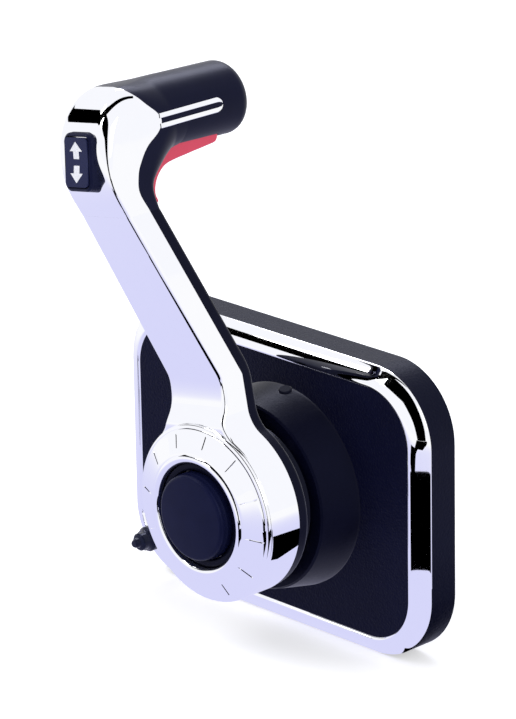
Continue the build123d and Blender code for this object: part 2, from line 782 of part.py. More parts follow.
def make_cover_screws():
    out = []
    for z in cover_screw_z:
        normal = Vector(0, cos(radians(arm_lean)), sin(radians(arm_lean)))
        seat = Vector(11.6, arm_y(cover_back_0, z), z) - normal * 1.55
        place = Plane(origin=seat, x_dir=(1, 0, 0), z_dir=-normal)
        shank = extrude(place * Circle(screw_r - 0.35), amount=8.0)
        head = extrude(place * Circle(screw_head_r - 0.7), amount=-1.3)
        slot = place * Box(3.6, 0.7, 1.2)
        out.append(head + shank - Pos(normal * 1.3) * slot)
    return out


# ------------------------------------------------------------------ hub ring
def make_ring():
    ring = turned([(ring_bore_r, -hub_front), (hub_r - 0.2, -hub_front), (hub_r - 0.3, -hub_front - 0.5),
                   (hub_r - 2.2, -hub_front - 1.5), (ring_lip_r + 1.2, -ring_bore_y - 1.4),
                   (ring_lip_r, -ring_lip), (ring_lip_r - 0.9, -ring_lip - 0.1),
                   (ring_bore_r, -ring_bore_y)])
    angle = degrees(atan((ring_bore_y + 1.4 - hub_front - 1.5) / (hub_r - 2.2 - ring_lip_r - 1.2)))
    cutter = Pos(0, -(hub_front + 1.5 + ring_bore_y + 1.4) / 2, (hub_r - 2.2 + ring_lip_r + 1.2) / 2) * \
        Rot(angle, 0, 0) * Box(0.8, 1.0, 9.5)
    for piece in ring_of(cutter, groove_count, 360.0 / groove_count / 2):
        ring = ring - piece
    return ring


def make_guide():
    r_out = ring_bore_r - 0.1
    body = turned([(button_r + 0.35, -guide_front), (r_out, -guide_front), (r_out, -cup_floor),
                   (button_r + button_flange + 0.35, -cup_floor),
                   (button_r + button_flange + 0.35, -button_skirt - 2.2),
                   (button_r + 0.35, -button_skirt - 2.2)])
    return body


def make_button():
    y_skirt = -button_skirt
    y_edge = -button_edge
    outer = [Line((0, y_skirt), (button_r + button_flange, y_skirt)),
             Line((button_r + button_flange, y_skirt), (button_r + button_flange, y_skirt - 1.8)),
             Line((button_r + button_flange, y_skirt - 1.8), (button_r, y_skirt - 1.8)),
             Line((button_r, y_skirt - 1.8), (button_r, y_edge)),
             Spline((button_r, y_edge), (button_r - 1.1, y_edge - 1.5), (button_r * 0.62, -button_top + 1.1),
                    (0, -button_top), tangents=[(0, -1), (-1, 0)]),
             Line((0, -button_top), (0, y_skirt))]
    body = revolve(make_face(Wire(Curve() + outer)), Axis.Y)
    hollow = disc(button_r - button_wall, y_skirt, button_edge - button_skirt)
    return body - hollow


def make_boot():
    """Rubber return boot under the button: a thin bell that stands on the cup floor."""
    y0 = -cup_floor
    top = -(button_edge - button_travel - 0.4)
    return turned([(17.2, y0), (15.2, y0), (15.2, y0 - 1.2), (13.4, top + 1.4), (13.4, top), (15.0, top),
                   (15.0, top + 2.0), (17.2, y0 - 1.6)])


# ------------------------------------------------------------- grip and trim
def bend_curve():
    """Inner corner between arm and grip in side view, from the grip down to the cover."""
    return [(-64.0, 170.6), (-74.6, 169.9), (-80.6, 167.4), (-85.6, 163.6), (-88.4, 162.0)]


def grip_side():
    split = [(y + 0.12, z) for y, z in head_split()]
    top = 222.0
    pts = [Line((split[0][0], top), split[0]), Spline(*split, tangents=[(0.25, -1), (-0.2, -1)])]
    heel = (arm_y(arm_back_0, 162.0) + 0.12, 162.0)
    pts.append(Line(split[-1], heel))
    pts.append(Line(heel, bend_curve()[-1]))
    pts.append(Spline(*reversed(bend_curve()), tangents=[(0.5, 1), (1, 0)]))
    pts.append(Line(bend_curve()[0], (-10.0, 168.0)))
    pts.append(Line((-10.0, 168.0), (-10.0, top)))
    pts.append(Line((-10.0, top), (split[0][0], top)))
    return make_face(Wire(Curve() + pts))


def make_grip():
    body = grip_tube(grip_r, -112, grip_end_y)
    end = body.edges().sort_by(Axis.Y)[-1]
    body = fillet(end, grip_end_fillet)
    web_half = arm_half_high - cover_inset
    web = side_prism(side_face((-101.5, 161.8), (-88.0, 161.8), (-66.0, 176.0), (-66.0, 190.0),
                               (-101.5, 190.0)), web_half)
    body = (body + web) & side_prism(grip_side(), 40)
    body = body - make_trigger_space() - inlay_cut(0.12)
    bore = grip_tube(4.0, -101, -60)
    return body - bore


def inlay_cut(gap):
    """Long round-ended slots on both flanks of the grip."""
    y0 = -86.0
    drop = Vector(0, cos(radians(grip_droop)), -sin(radians(grip_droop)))
    mid_y = (y0 + inlay_end_y) / 2
    length = inlay_end_y - y0
    plane = Plane(origin=(0, mid_y, grip_path(mid_y)), x_dir=drop, z_dir=(1, 0, 0))
    slot = SlotOverall(length + 2 * gap, inlay_h + 2 * gap)
    bar = extrude(plane * slot, amount=30, both=True)
    inner = grip_tube(grip_r - inlay_deep - gap, -120, -10)
    return bar - inner


def make_inlays():
    shape = inlay_cut(0.0) & grip_tube(grip_r + 0.25, -110, -20)
    shape = shape & side_prism(grip_side(), 40)
    inner = grip_tube(grip_r - inlay_deep + 0.02, -120, -10)
    shape = shape - inner
    return shape.solids()


# -------------------------------------------------------------- rocker switch
def frame_block(extra):
    face = RectangleRounded(frame_w + 2 * extra, frame_h + 2 * extra, 4.2)
    return extrude(rocker_plane() * face, amount=-(frame_deep + extra), taper=-frame_draft)


def switch_pocket():
    body = extrude(rocker_plane(frame_deep) * RectangleRounded(13.6, 20.6, 1.5), amount=-switch_deep)
    return frame_block(0.08) + body


def make_frame():
    frame = frame_block(0.0)
    frame = chamfer(frame.faces().sort_by(rocker_axis())[-1].edges(), 0.8)
    hole = RectangleRounded(rocker_w + 2 * rocker_gap, rocker_h + 2 * rocker_gap, 2.6)
    frame = frame - extrude(rocker_plane() * hole, amount=-7.0)
    pin = Plane(origin=rocker_plane(rocker_pivot).origin, x_dir=(0, 0, 1), z_dir=(1, 0, 0))
    return frame - extrude(pin * Circle(rocker_pin_r + 0.05), amount=rocker_w / 2 + 2.0, both=True)


def rocker_axis():
    return Axis((0, 0, 0), tuple(rocker_plane().z_dir))


def make_rocker():
    """Rocker cap: two faces that meet in a shallow dip, square corners eased."""
    half = rocker_h / 2
    dip = 0.7
    side = make_face(Polyline((-half, 0.9), (0, 0.9 - dip), (half, 0.9), (half - 0.4, -4.6),
                              (4.0, -6.0), (-4.0, -6.0), (-half + 0.4, -4.6), close=True))
    plane = Plane(origin=rocker_plane().origin, x_dir=rocker_plane().y_dir, z_dir=(1, 0, 0))
    body = extrude(plane * side, amount=rocker_w / 2, both=True)
    body = body & extrude(rocker_plane(-5) * RectangleRounded(rocker_w, rocker_h, 2.2), amount=-20)
    pin = Plane(origin=rocker_plane(rocker_pivot).origin, x_dir=(0, 0, 1), z_dir=(1, 0, 0))
    return body - extrude(pin * Circle(rocker_pin_r + 0.03), amount=20, both=True)


def make_rocker_pin():
    pin = Plane(origin=rocker_plane(rocker_pivot).origin, x_dir=(0, 0, 1), z_dir=(1, 0, 0))
    return extrude(pin * Circle(rocker_pin_r), amount=rocker_w / 2 + 1.9, both=True)


def make_switch_body():
    return extrude(rocker_plane(frame_deep + 0.05) * RectangleRounded(13.2, 20.2, 1.4), amount=0.4 - switch_deep)


# --------------------------------------------------------- neutral-lock trigger
def trigger_face():
    """Side view of the red trigger: blade under the grip, elbow and small lower tail."""
    return [(-39.6, 174.6), (-40.4, 169.6), (-55.0, 168.5), (-71.0, 167.2), (-76.6, 164.6),
            (-80.4, 160.6), (-81.8, 156.6), (-81.0, 151.2), (-84.2, 150.4), (-87.6, 153.6),
            (-92.6, 160.2), (-92.2, 166.0), (-86.0, 172.4), (-76.0, 176.4), (-60.0, 177.4)]


def trigger_lug():
    """Side view of the lug that holds the top of the lock rod."""
    front = rod_offset + rod_r / cos(radians(arm_lean)) + lug_wall
    low, high = rod_top - 3.2, rod_top + lug_wall
    return [(-88.0, low), along_arm(front, low), along_arm(front, high), (-91.0, high)]


def make_trigger():
    outline = make_face(Polyline(*trigger_face(), close=True))
    blade = side_prism(outline, trigger_half)
    edges = [e for e in blade.edges() if abs(abs((e @ 0.5).X) - trigger_half) < 0.01
             and ((e @ 0.5).Z < 170.5 and (e @ 0.5).Y > -82.5)]
    blade = fillet(edges, 1.2) + side_prism(side_face(*trigger_lug()), lug_half)
    return blade - rod_bar(rod_r + 0.01, rod_top - 8.0, rod_top + 0.2)


def rod_bar(radius, z0, z1):
    """Round bar up the arm's channel between two heights."""
    start = Vector(0, arm_y(rod_offset, z0), z0)
    plane = Plane(origin=start, x_dir=(1, 0, 0), z_dir=along)
    return extrude(plane * Circle(radius), amount=(z1 - z0) / along.Z)


def make_trigger_space():
    """Room that the trigger needs at rest and squeezed."""
    outline = make_face(Polyline(*trigger_face(), close=True))
    grown = offset(outline, trigger_gap, kind=Kind.INTERSECTION)
    grown_lug = offset(side_face(*trigger_lug()), trigger_gap, kind=Kind.INTERSECTION)
    return (side_prism(swept_up_arm(grown, trigger_travel + 0.1), trigger_half + trigger_gap)
            + side_prism(swept_up_arm(grown_lug, trigger_travel + 0.1), lug_half + trigger_gap))


def swept_up_arm(outline, travel):
    """Area that a straight-sided outline in side view sweeps as it slides up the arm."""
    shift = Vector(along.Y, along.Z, 0) * travel
    area = outline + Pos(shift) * outline
    for edge in outline.edges():
        start, end = edge @ 0, edge @ 1
        if abs((end - start).cross(shift).Z) > 0.01:
            area = area + make_face(Polyline(start, end, end + shift, start + shift, close=True))
    return area


def make_lock_rod():
    rod = rod_bar(rod_r, 57.0, rod_top)
    foot = side_face((-54.6, 55.4), (-44.6, 55.4), (-44.6, 33.4), (-47.2, 33.4), (-47.2, 51.0),
                     (-54.6, 58.6))
    foot = side_prism(foot, 2.4)
    return rod + foot


# ------------------------------------------------------------------ assembly
def add(name, shape):
    parts[name] = shape


add("housing", make_housing())
add("rear_gasket", make_gasket())
add("back_plate", make_back_plate())
add("harness_grommet", make_grommet())
add("back_screws", make_back_screws())
add("bezel", make_bezel())
add("face_panel", make_face_panel())
add("panel_screws", make_panel_screws())
add("hub_boss", at_hub(make_boss()))
add("index_lens", at_hub(make_lens()))
add("lock_ring", at_hub(make_lock_ring()))
add("lock_screws", [at_hub(s) for s in make_lock_screws()])
add("front_bush", at_hub(make_front_bush()))
add("bearing_plate", at_hub(make_bearing_plate()))
add("rear_bush", at_hub(make_rear_bush()))
add("boss_screws", [at_hub(s) for s in make_boss_screws()])
add("detent_pin", at_hub(make_detent_pin()))
add("detent_arm", at_hub(make_detent_arm()))
add("roller_pin", at_hub(make_roller_pin()))
add("detent_roller", at_hub(make_roller()))
add("sensor_board", at_hub(make_board()))
add("stop_collar", make_stop_collar())
add("stop_nut", make_stop_nut())
add("stop_knob", make_stop_knob())
add("output_shaft", on_lever(make_shaft()))
add("detent_wheel", at_hub(make_detent_wheel()))
add("shaft_circlip", on_lever(make_circlip()))
add("sensor_magnet", on_lever(make_magnet()))
add("shaft_washer", on_lever(make_washer()))
add("shaft_nut", on_lever(make_nut()))
add("lever_shell", on_lever(make_shell()))
add("lever_cover", on_lever(make_cover()))
add("hub_screws", [on_lever(s) for s in make_hub_screws()])
add("cover_screws", [on_lever(s) for s in make_cover_screws()])
add("hub_ring", on_lever(make_ring()))
add("button_guide", on_lever(make_guide()))
add("throttle_button", on_lever(make_button()))
add("button_boot", on_lever(make_boot()))
add("grip", on_lever(make_grip()))
add("grip_inlay", [on_lever(s) for s in make_inlays()])
add("rocker_frame", on_lever(make_frame()))
add("trim_rocker", on_lever(make_rocker()))
add("rocker_pin", on_lever(make_rocker_pin()))
add("switch_body", on_lever(make_switch_body()))
add("neutral_trigger", on_lever(make_trigger()))
add("lock_rod", on_lever(make_lock_rod()))

for name, shape in parts.items():
    solids = shape if isinstance(shape, list) else shape.solids()
    export_step(Compound(children=[Solid(s.wrapped) if not isinstance(s, Solid) else s
                                   for piece in solids for s in piece.solids()]),
                "parts/" + name + ".step")
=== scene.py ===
import json

import bpy
import numpy as np
from mathutils import Matrix, Vector

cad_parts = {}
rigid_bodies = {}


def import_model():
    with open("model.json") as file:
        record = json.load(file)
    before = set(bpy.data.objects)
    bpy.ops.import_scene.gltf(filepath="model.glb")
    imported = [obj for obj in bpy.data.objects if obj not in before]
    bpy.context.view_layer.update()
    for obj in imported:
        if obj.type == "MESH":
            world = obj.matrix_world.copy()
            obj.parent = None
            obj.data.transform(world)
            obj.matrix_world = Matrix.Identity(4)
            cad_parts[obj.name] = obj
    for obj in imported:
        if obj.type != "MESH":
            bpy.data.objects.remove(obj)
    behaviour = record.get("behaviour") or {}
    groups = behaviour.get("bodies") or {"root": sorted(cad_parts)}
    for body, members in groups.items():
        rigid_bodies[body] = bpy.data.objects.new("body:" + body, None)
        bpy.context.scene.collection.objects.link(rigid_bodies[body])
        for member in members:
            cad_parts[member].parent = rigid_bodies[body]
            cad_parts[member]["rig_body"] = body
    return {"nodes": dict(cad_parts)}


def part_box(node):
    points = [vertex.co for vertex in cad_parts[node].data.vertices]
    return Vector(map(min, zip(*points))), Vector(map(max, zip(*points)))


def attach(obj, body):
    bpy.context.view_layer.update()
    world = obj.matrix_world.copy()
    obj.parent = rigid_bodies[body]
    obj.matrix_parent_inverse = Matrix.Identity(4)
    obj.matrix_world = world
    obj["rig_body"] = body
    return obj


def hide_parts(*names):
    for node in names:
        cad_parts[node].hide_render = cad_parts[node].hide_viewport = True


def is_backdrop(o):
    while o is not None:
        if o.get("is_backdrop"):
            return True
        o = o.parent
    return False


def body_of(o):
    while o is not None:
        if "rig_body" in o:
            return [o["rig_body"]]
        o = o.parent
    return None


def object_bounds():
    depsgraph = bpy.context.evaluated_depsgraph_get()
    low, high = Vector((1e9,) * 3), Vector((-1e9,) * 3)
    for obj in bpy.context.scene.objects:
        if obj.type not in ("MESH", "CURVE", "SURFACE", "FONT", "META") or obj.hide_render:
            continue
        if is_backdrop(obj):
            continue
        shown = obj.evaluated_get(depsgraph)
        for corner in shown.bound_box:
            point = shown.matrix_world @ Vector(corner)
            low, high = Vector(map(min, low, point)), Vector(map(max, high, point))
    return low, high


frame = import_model()
nodes = frame["nodes"]
low_corner, high_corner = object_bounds()


# ---------------------------------------------------------------- moulded housing
# Box-shaped rear housing of black glass-filled nylon, injection moulded with a
# fine spark-eroded grain, with its rear cover, foam gasket, rubber grommet and
# the matt black front panel that closes it.
class Amount:
    """A number that varies over a surface. Arithmetic on it adds Math nodes to its material."""

    def __init__(self, tree, socket):
        self.tree = tree
        self.socket = socket

    def add(self, kind, settings=None, **inputs):
        """Adds one node: first its settings, then its sockets' values or links, by name or _number."""
        made = self.tree.nodes.new(kind)
        for name, value in (settings or {}).items():
            setattr(made, name, value)
        for name, value in inputs.items():
            socket = made.inputs[int(name[1:]) if name[0] == "_" else name.replace("_", " ")]
            if isinstance(value, Amount):
                self.tree.links.new(value.socket, socket)
            elif isinstance(value, bpy.types.NodeSocket):
                self.tree.links.new(value, socket)
            else:
                socket.default_value = value
        return made

    def maths(self, operation, *terms):
        made = self.add("ShaderNodeMath", {"operation": operation},
                        **{f"_{i}": term for i, term in enumerate(terms)})
        return Amount(self.tree, made.outputs[0])

    def __add__(self, other):
        return self.maths("ADD", self, other)

    def __mul__(self, other):
        return self.maths("MULTIPLY", self, other)

    def __sub__(self, other):
        return self.maths("SUBTRACT", self, other)

    def __rsub__(self, other):
        return self.maths("SUBTRACT", other, self)

    __radd__ = __add__
    __rmul__ = __mul__

    def step(self, low, high):
        """0 below low, 1 above high and smooth between them."""
        made = self.add("ShaderNodeMapRange", {"interpolation_type": "SMOOTHSTEP"},
                        Value=self, From_Min=low, From_Max=high)
        return Amount(self.tree, made.outputs[0])

    def noise(self, scale, detail=4.0, rough=0.55, stretch=(1, 1, 1)):
        """Cloudy noise over object coordinates; scale is in lumps per metre."""
        place = self.add("ShaderNodeTexCoord")
        turned = self.add("ShaderNodeMapping", Vector=place.outputs["Object"], Scale=stretch)
        made = self.add("ShaderNodeTexNoise", Vector=turned.outputs[0], Scale=scale, Detail=detail,
                        Roughness=rough)
        return Amount(self.tree, made.outputs["Fac"])

    def grain(self, scale, stretch=(1, 1, 1)):
        """Distance to the nearest of many scattered pits; scale is in pits per metre."""
        place = self.add("ShaderNodeTexCoord")
        turned = self.add("ShaderNodeMapping", Vector=place.outputs["Object"], Scale=stretch)
        made = self.add("ShaderNodeTexVoronoi", Vector=turned.outputs[0], Scale=scale)
        return Amount(self.tree, made.outputs["Distance"])

    def place(self):
        """The object coordinates as three amounts."""
        at = self.add("ShaderNodeTexCoord")
        parts = self.add("ShaderNodeSeparateXYZ", Vector=at.outputs["Object"])
        return [Amount(self.tree, out) for out in parts.outputs]

    def blend(self, dark, light):
        """A colour between two, by this amount."""
        made = self.add("ShaderNodeMix", {"data_type": "RGBA"}, _0=self, _6=(*dark, 1), _7=(*light, 1))
        return made.outputs[2]

    def bump(self, depth, strength=1.0):
        """Surface normal with this amount as relief, depth in metres."""
        made = self.add("ShaderNodeBump", Height=self, Distance=depth, Strength=strength)
        return made.outputs[0]


dull_below = 0.3
cool_sheen = (0.55, 0.6, 1.0, 1.0)


def finish(name, roughness, metallic=0.0, coat=0.0, specular=0.5, coat_rough=0.1):
    """A new material, its surface shader and a starting amount to build patterns from."""
    material = bpy.data.materials.new(name)
    material.use_nodes = True
    shader = material.node_tree.nodes["Principled BSDF"]
    shader.inputs["Roughness"].default_value = roughness
    shader.inputs["Metallic"].default_value = metallic
    shader.inputs["Coat Weight"].default_value = coat
    shader.inputs["Coat Roughness"].default_value = coat_rough
    shader.inputs["Specular IOR Level"].default_value = specular
    if specular < dull_below:
        shader.inputs["Specular Tint"].default_value = cool_sheen
    return material, shader, Amount(material.node_tree, None)


def put_on(material, *names):
    for name in names:
        nodes[name].data.materials.clear()
        nodes[name].data.materials.append(material)


def made_of(name, points, faces, material, body, crease=38.0, kinds=None):
    """A new smooth piece in metres, riding on a body, with edges sharper than crease kept crisp."""
    spots = np.asarray(points, dtype=float).reshape(-1, 3)
    mesh = bpy.data.meshes.new(name)
    mesh.from_pydata(spots.tolist(), [], np.asarray(faces).tolist())
    for each in material if isinstance(material, (list, tuple)) else [material]:
        mesh.materials.append(each)
    if kinds is not None:
        mesh.polygons.foreach_set("material_index", np.asarray(kinds, dtype=np.int32))
    mesh.shade_smooth()
    mesh.set_sharp_from_angle(angle=np.radians(crease))
    made = bpy.data.objects.new(name, mesh)
    bpy.context.scene.collection.objects.link(made)
    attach(made, body)
    return made


def polished(node, material, body, crease=32.0):
    """The node's own form with its loose triangles joined and its facets shaded smooth."""
    source = nodes[node].data
    spots = np.empty(len(source.vertices) * 3)
    source.vertices.foreach_get("co", spots)
    source.calc_loop_triangles()
    corners = np.empty(len(source.loop_triangles) * 3, dtype=np.int32)
    source.loop_triangles.foreach_get("vertices", corners)
    single, where = np.unique(np.round(spots.reshape(-1, 3), 6), axis=0, return_inverse=True)
    faces = where.reshape(-1)[corners].reshape(-1, 3)
    whole = (faces[:, 0] != faces[:, 1]) & (faces[:, 1] != faces[:, 2]) & (faces[:, 2] != faces[:, 0])
    made = made_of(node + "_skin", single, faces[whole], material, body, crease)
    weigh = made.modifiers.new("even_normals", "WEIGHTED_NORMAL")
    weigh.keep_sharp = True
    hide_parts(node)
    return made


def grid_faces(rows, columns, closed=False):
    """Quads of a grid of rows by columns of points, closed round its columns if asked."""
    row = np.arange(rows - 1)[:, None]
    column = np.arange(columns if closed else columns - 1)[None, :]
    after = (column + 1) % columns
    return np.stack([row * columns + column, row * columns + after, (row + 1) * columns + after,
                     (row + 1) * columns + column], axis=-1).reshape(-1, 4)


def moulded(name, dark, light, roughness, pits, depth, specular=0.5):
    """Black moulded plastic with a fine spark-eroded grain and faint mottling."""
    material, shader, any_amount = finish(name, roughness, specular=specular)
    mottle = any_amount.noise(55.0)
    fine = any_amount.noise(pits, 3.0, 0.7)
    tree = material.node_tree
    tree.links.new((mottle * 0.6 + fine * 0.4).blend(dark, light), shader.inputs["Base Color"])
    tree.links.new((fine * 0.22 + mottle * 0.1 + (roughness - 0.16)).socket, shader.inputs["Roughness"])
    pit = any_amount.grain(pits * 0.8)
    tree.links.new((fine * 0.7 + pit * 0.5).bump(depth), shader.inputs["Normal"])
    return material


black_housing = moulded("housing_moulding", (0.0012, 0.0015, 0.008), (0.004, 0.005, 0.018), 0.42, 900.0,
                        0.00012, 0.10)
for node in ("housing", "back_plate"):
    polished(node, black_housing, "base")
put_on(black_housing, "switch_body")
panel_skin = moulded("panel_grain", (0.0010, 0.0012, 0.010), (0.004, 0.005, 0.026), 0.42, 1100.0,
                     0.00025, 0.09)
polished("face_panel", panel_skin, "base")
put_on(moulded("soft_rubber", (0.006, 0.006, 0.007), (0.014, 0.014, 0.015), 0.7, 600.0, 0.0001),
       "rear_gasket", "harness_grommet", "button_boot")


# ------------------------------------------------------------------ chromed bezel
# Frame round the panel, moulded in ABS and copper-nickel-chrome plated: a mirror
# with a very slight ripple from the moulding under it, clipped over the panel.
def plated(name, tint, roughness, ripple=0.00002):
    """Bright chrome plate: nearly a mirror, with faint waviness and hazy patches."""
    material, shader, any_amount = finish(name, roughness, metallic=1.0)
    wave = any_amount.noise(22.0, 1.0, 0.4)
    haze = any_amount.noise(180.0, 4.0, 0.6)
    tree = material.node_tree
    tree.links.new(haze.blend(tint, tuple(min(1.0, c * 1.02) for c in tint)), shader.inputs["Base Color"])
    tree.links.new((haze * 0.02 + roughness).socket, shader.inputs["Roughness"])
    tree.links.new(wave.bump(ripple), shader.inputs["Normal"])
    return material


def smooth_line(points, count, first=None, last=None):
    """Cubic spline through the points by chord length, as count points evenly spaced along it.

    The slopes m solve 1/h0 m0 + 2(1/h0 + 1/h1) m1 + 1/h1 m2 = 3(d0/h0 + d1/h1) at each
    inner point, h and d being the runs and their slopes; the ends are free or given.
    """
    points = np.asarray(points, dtype=float)
    run = np.linalg.norm(np.diff(points, axis=0), axis=1)
    rise = np.diff(points, axis=0) / run[:, None]
    size = len(points)
    left = np.zeros((size, size))
    right = np.zeros_like(points)
    inner = np.arange(1, size - 1)
    left[inner, inner - 1] = 1 / run[:-1]
    left[inner, inner] = 2 / run[:-1] + 2 / run[1:]
    left[inner, inner + 1] = 1 / run[1:]
    right[1:-1] = 3 * (rise[:-1] / run[:-1, None] + rise[1:] / run[1:, None])
    for at, near, given, step in ((0, 1, first, rise[0]), (-1, -2, last, rise[-1])):
        left[at, at] = 1 if given is not None else 2
        left[at, near] = 0 if given is not None else 1
        unit = None if given is None else np.asarray(given, dtype=float)
        right[at] = 3 * step if given is None else unit / np.linalg.norm(unit)
    slope = np.linalg.solve(left, right)
    along = np.concatenate([[0], np.cumsum(run)])
    where = np.linspace(0, along[-1], 1200)
    cell = np.clip(np.searchsorted(along, where, side="right") - 1, 0, size - 2)
    u = ((where - along[cell]) / run[cell])[:, None]
    h = run[cell][:, None]
    fine = ((1 + 2 * u) * (1 - u) ** 2 * points[cell] + u * (1 - u) ** 2 * h * slope[cell]
            + u * u * (3 - 2 * u) * points[cell + 1] + u * u * (u - 1) * h * slope[cell + 1])
    return evenly(fine, count)


def evenly(points, count):
    """The same line as count points at equal steps along it."""
    along = np.concatenate([[0], np.cumsum(np.linalg.norm(np.diff(points, axis=0), axis=1))])
    where = np.linspace(0, along[-1], count)
    return np.stack([np.interp(where, along, points[:, i]) for i in range(points.shape[1])], axis=1)


def rim_path(width, height, radius, step=3.0):
    """Rounded rectangle in x and z: its points and outward directions, one closed loop."""
    half_w, half_h = width / 2 - radius, height / 2 - radius
    spots, outs = [], []
    for quarter, (sx, sz) in enumerate(((1, 1), (-1, 1), (-1, -1), (1, -1))):
        angle = np.radians(90 * quarter + np.linspace(0, 90, 40))
        out = np.stack([np.cos(angle), np.sin(angle)], axis=1)
        corner = np.array([sx * half_w, sz * half_h]) + radius * out
        ahead = np.radians(90 * quarter + 180)
        run = 2 * (half_w if quarter % 2 == 0 else half_h)
        gaps = np.linspace(0, run, int(run / step) + 2)[1:-1]
        straight = corner[-1] + gaps[:, None] * np.array([np.cos(ahead), np.sin(ahead)])
        spots += [corner, straight]
        outs += [out, np.repeat(out[-1:], len(gaps), axis=0)]
    return np.concatenate(spots), np.concatenate(outs)


# The bezel's section in millimetres, as (inset from the panel's edge, y): a foot on the
# housing, a crown that rises inwards and a small stepped lip down to the panel.
chrome_tint = (0.95, 0.955, 0.99)
bezel_chrome = plated("bezel_plate", chrome_tint, 0.012)
panel_w, panel_h, panel_r = 199.5, 144.0, 35.0
crown = smooth_line([(0.0, -16.1), (0.9, -17.4), (2.9, -19.3), (5.8, -21.4), (8.4, -22.35)], 22,
                    first=(0.25, -1), last=(1, -0.12))
lip = [(8.75, -22.36), (9.05, -22.25), (9.2, -22.0), (9.3, -21.6), (9.35, -20.9), (9.5, -20.8),
       (9.6, -18.0), (9.6, -16.9), (11.8, -16.9)]
foot = [(0.0, -15.72), (0.0, -15.9)]
profile = np.concatenate([foot, crown, lip])
spots, outs = rim_path(panel_w, panel_h, panel_r)
shape = np.empty((len(profile), len(spots), 3))
shape[:, :, 0] = spots[None, :, 0] - profile[:, 0, None] * outs[None, :, 0]
shape[:, :, 2] = spots[None, :, 1] - profile[:, 0, None] * outs[None, :, 1]
shape[:, :, 1] = profile[:, 1, None]
bezel_faces = grid_faces(len(profile), len(spots), closed=True)
bezel = made_of("bezel_frame", shape / 1000, bezel_faces, bezel_chrome, "base")
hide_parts("bezel")


# --------------------------------------------------------------------- hub boss
# Round black boss on the panel that carries the shaft's front bearing, with a
# small clear window at its top, and the steel ring and notch of the neutral lock.
boss_black = moulded("boss_moulding", (0.001, 0.0012, 0.007), (0.003, 0.0035, 0.015), 0.36, 1300.0,
                     0.00005, 0.09)
polished("hub_boss", boss_black, "base", 20.0)
window, window_shader, window_amount = finish("clear_window", 0.3, specular=0.02)
rings = window_amount.noise(700.0, 2.0)
height = window_amount.place()[2]
lens_low, lens_high = (float(corner[2]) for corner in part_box("index_lens"))
# The window's lower part, below a level line, is painted pale: a painted highlight of light caught in the
# clear lens. The rest stays dark with faint rings.
painted_lit_share, fade = 0.36, 0.0002
painted_lit_band = (lens_low + painted_lit_share * (lens_high - lens_low) - height).step(-fade, fade)
window.node_tree.links.new((rings * 0.02 + painted_lit_band * 0.9).blend((0.002, 0.0025, 0.012), (0.8, 0.82, 0.95)),
                           window_shader.inputs["Base Color"])
put_on(window, "index_lens")


# ------------------------------------------------------- shaft, bearings and lock
# Turned and stamped steel pieces behind and inside the hub, oil-filled bronze
# bushes, the die-cast bearing cup and the sensor board.
def machined(name, dark, light, roughness, lines=(1, 40, 1)):
    """Turned or ground metal: fine tool lines in one direction."""
    material, shader, any_amount = finish(name, roughness, metallic=1.0)
    cut = any_amount.noise(900.0, 3.0, 0.6, lines)
    tree = material.node_tree
    tree.links.new(cut.blend(dark, light), shader.inputs["Base Color"])
    tree.links.new((cut * 0.2 + (roughness - 0.1)).socket, shader.inputs["Roughness"])
    tree.links.new(cut.bump(0.00001), shader.inputs["Normal"])
    return material


put_on(machined("turned_steel", (0.42, 0.42, 0.43), (0.62, 0.62, 0.63), 0.3),
       "lock_screws", "boss_screws", "detent_pin", "detent_arm", "roller_pin",
       "detent_roller", "output_shaft", "detent_wheel", "shaft_circlip", "shaft_washer", "shaft_nut",
       "hub_screws", "cover_screws", "lock_rod", "stop_nut", "back_screws",
       "panel_screws", "sensor_magnet")
put_on(machined("blackened_steel", (0.004, 0.0045, 0.01), (0.012, 0.013, 0.026), 0.4), "lock_ring")
put_on(machined("bush_bronze", (0.42, 0.27, 0.12), (0.6, 0.42, 0.2), 0.4), "front_bush", "rear_bush")
put_on(machined("cast_cup", (0.34, 0.34, 0.36), (0.5, 0.5, 0.52), 0.5, (1, 1, 1)), "bearing_plate")
board, board_shader, board_amount = finish("solder_mask", 0.3, coat=0.4)
tracks = board_amount.grain(420.0, (1, 1, 3)).step(0.02, 0.05)
board.node_tree.links.new(tracks.blend((0.02, 0.16, 0.07), (0.012, 0.09, 0.045)),
                          board_shader.inputs["Base Color"])
put_on(board, "sensor_board")


# ------------------------------------------------------------------ chromed lever
# Die-cast zinc lever, polished and chrome plated in one piece: the drum of the hub,
# the tapered arm that leans forward and the head that bends back into the grip.
# Sizes are in millimetres on the upright lever: x across, -y out of the panel, z up the arm.
# slope is the arm's lean; arm_front, arm_rear and arm_split are how far out its front line,
# its rear line and the line between chrome and cover would meet z = 0; arm_foot and arm_taper
# give its half width; neck_at and neck_r the hollow between hub and arm.
hub_x, rake = 9.3, np.radians(10.0)
hub_r, hub_front, hub_rear = 43.5, -73.0, -55.0
slope, arm_front, arm_rear, arm_split = 0.457, 39.7, 18.2, 25.8
arm_foot, arm_taper, arm_top = 20.157, 0.02571, 150.0
arm_corner, head_half = 2.6, 16.3
neck_at, neck_r = (33.94, 47.65), 15.0
grip_r, grip_droop, grip_z = 17.5, np.tan(np.radians(2.0)), 191.3
elbow_end = -64.0


def on_lever(points):
    """Millimetres on the upright lever to metres in place: turned back by the rake about the hub."""
    points = np.asarray(points, dtype=float)
    x, y, z = points[..., 0], points[..., 1], points[..., 2]
    return np.stack([x * np.cos(rake) - z * np.sin(rake) + hub_x, y,
                     x * np.sin(rake) + z * np.cos(rake)], axis=-1) / 1000


def grip_axis(y):
    """Height of the drooping grip's axis, grip_z at y = -100."""
    return grip_z - grip_droop * (y + 100.0)


def side_line(base, z):
    """y of a straight line up the side of the arm."""
    return -base - slope * np.asarray(z, dtype=float)


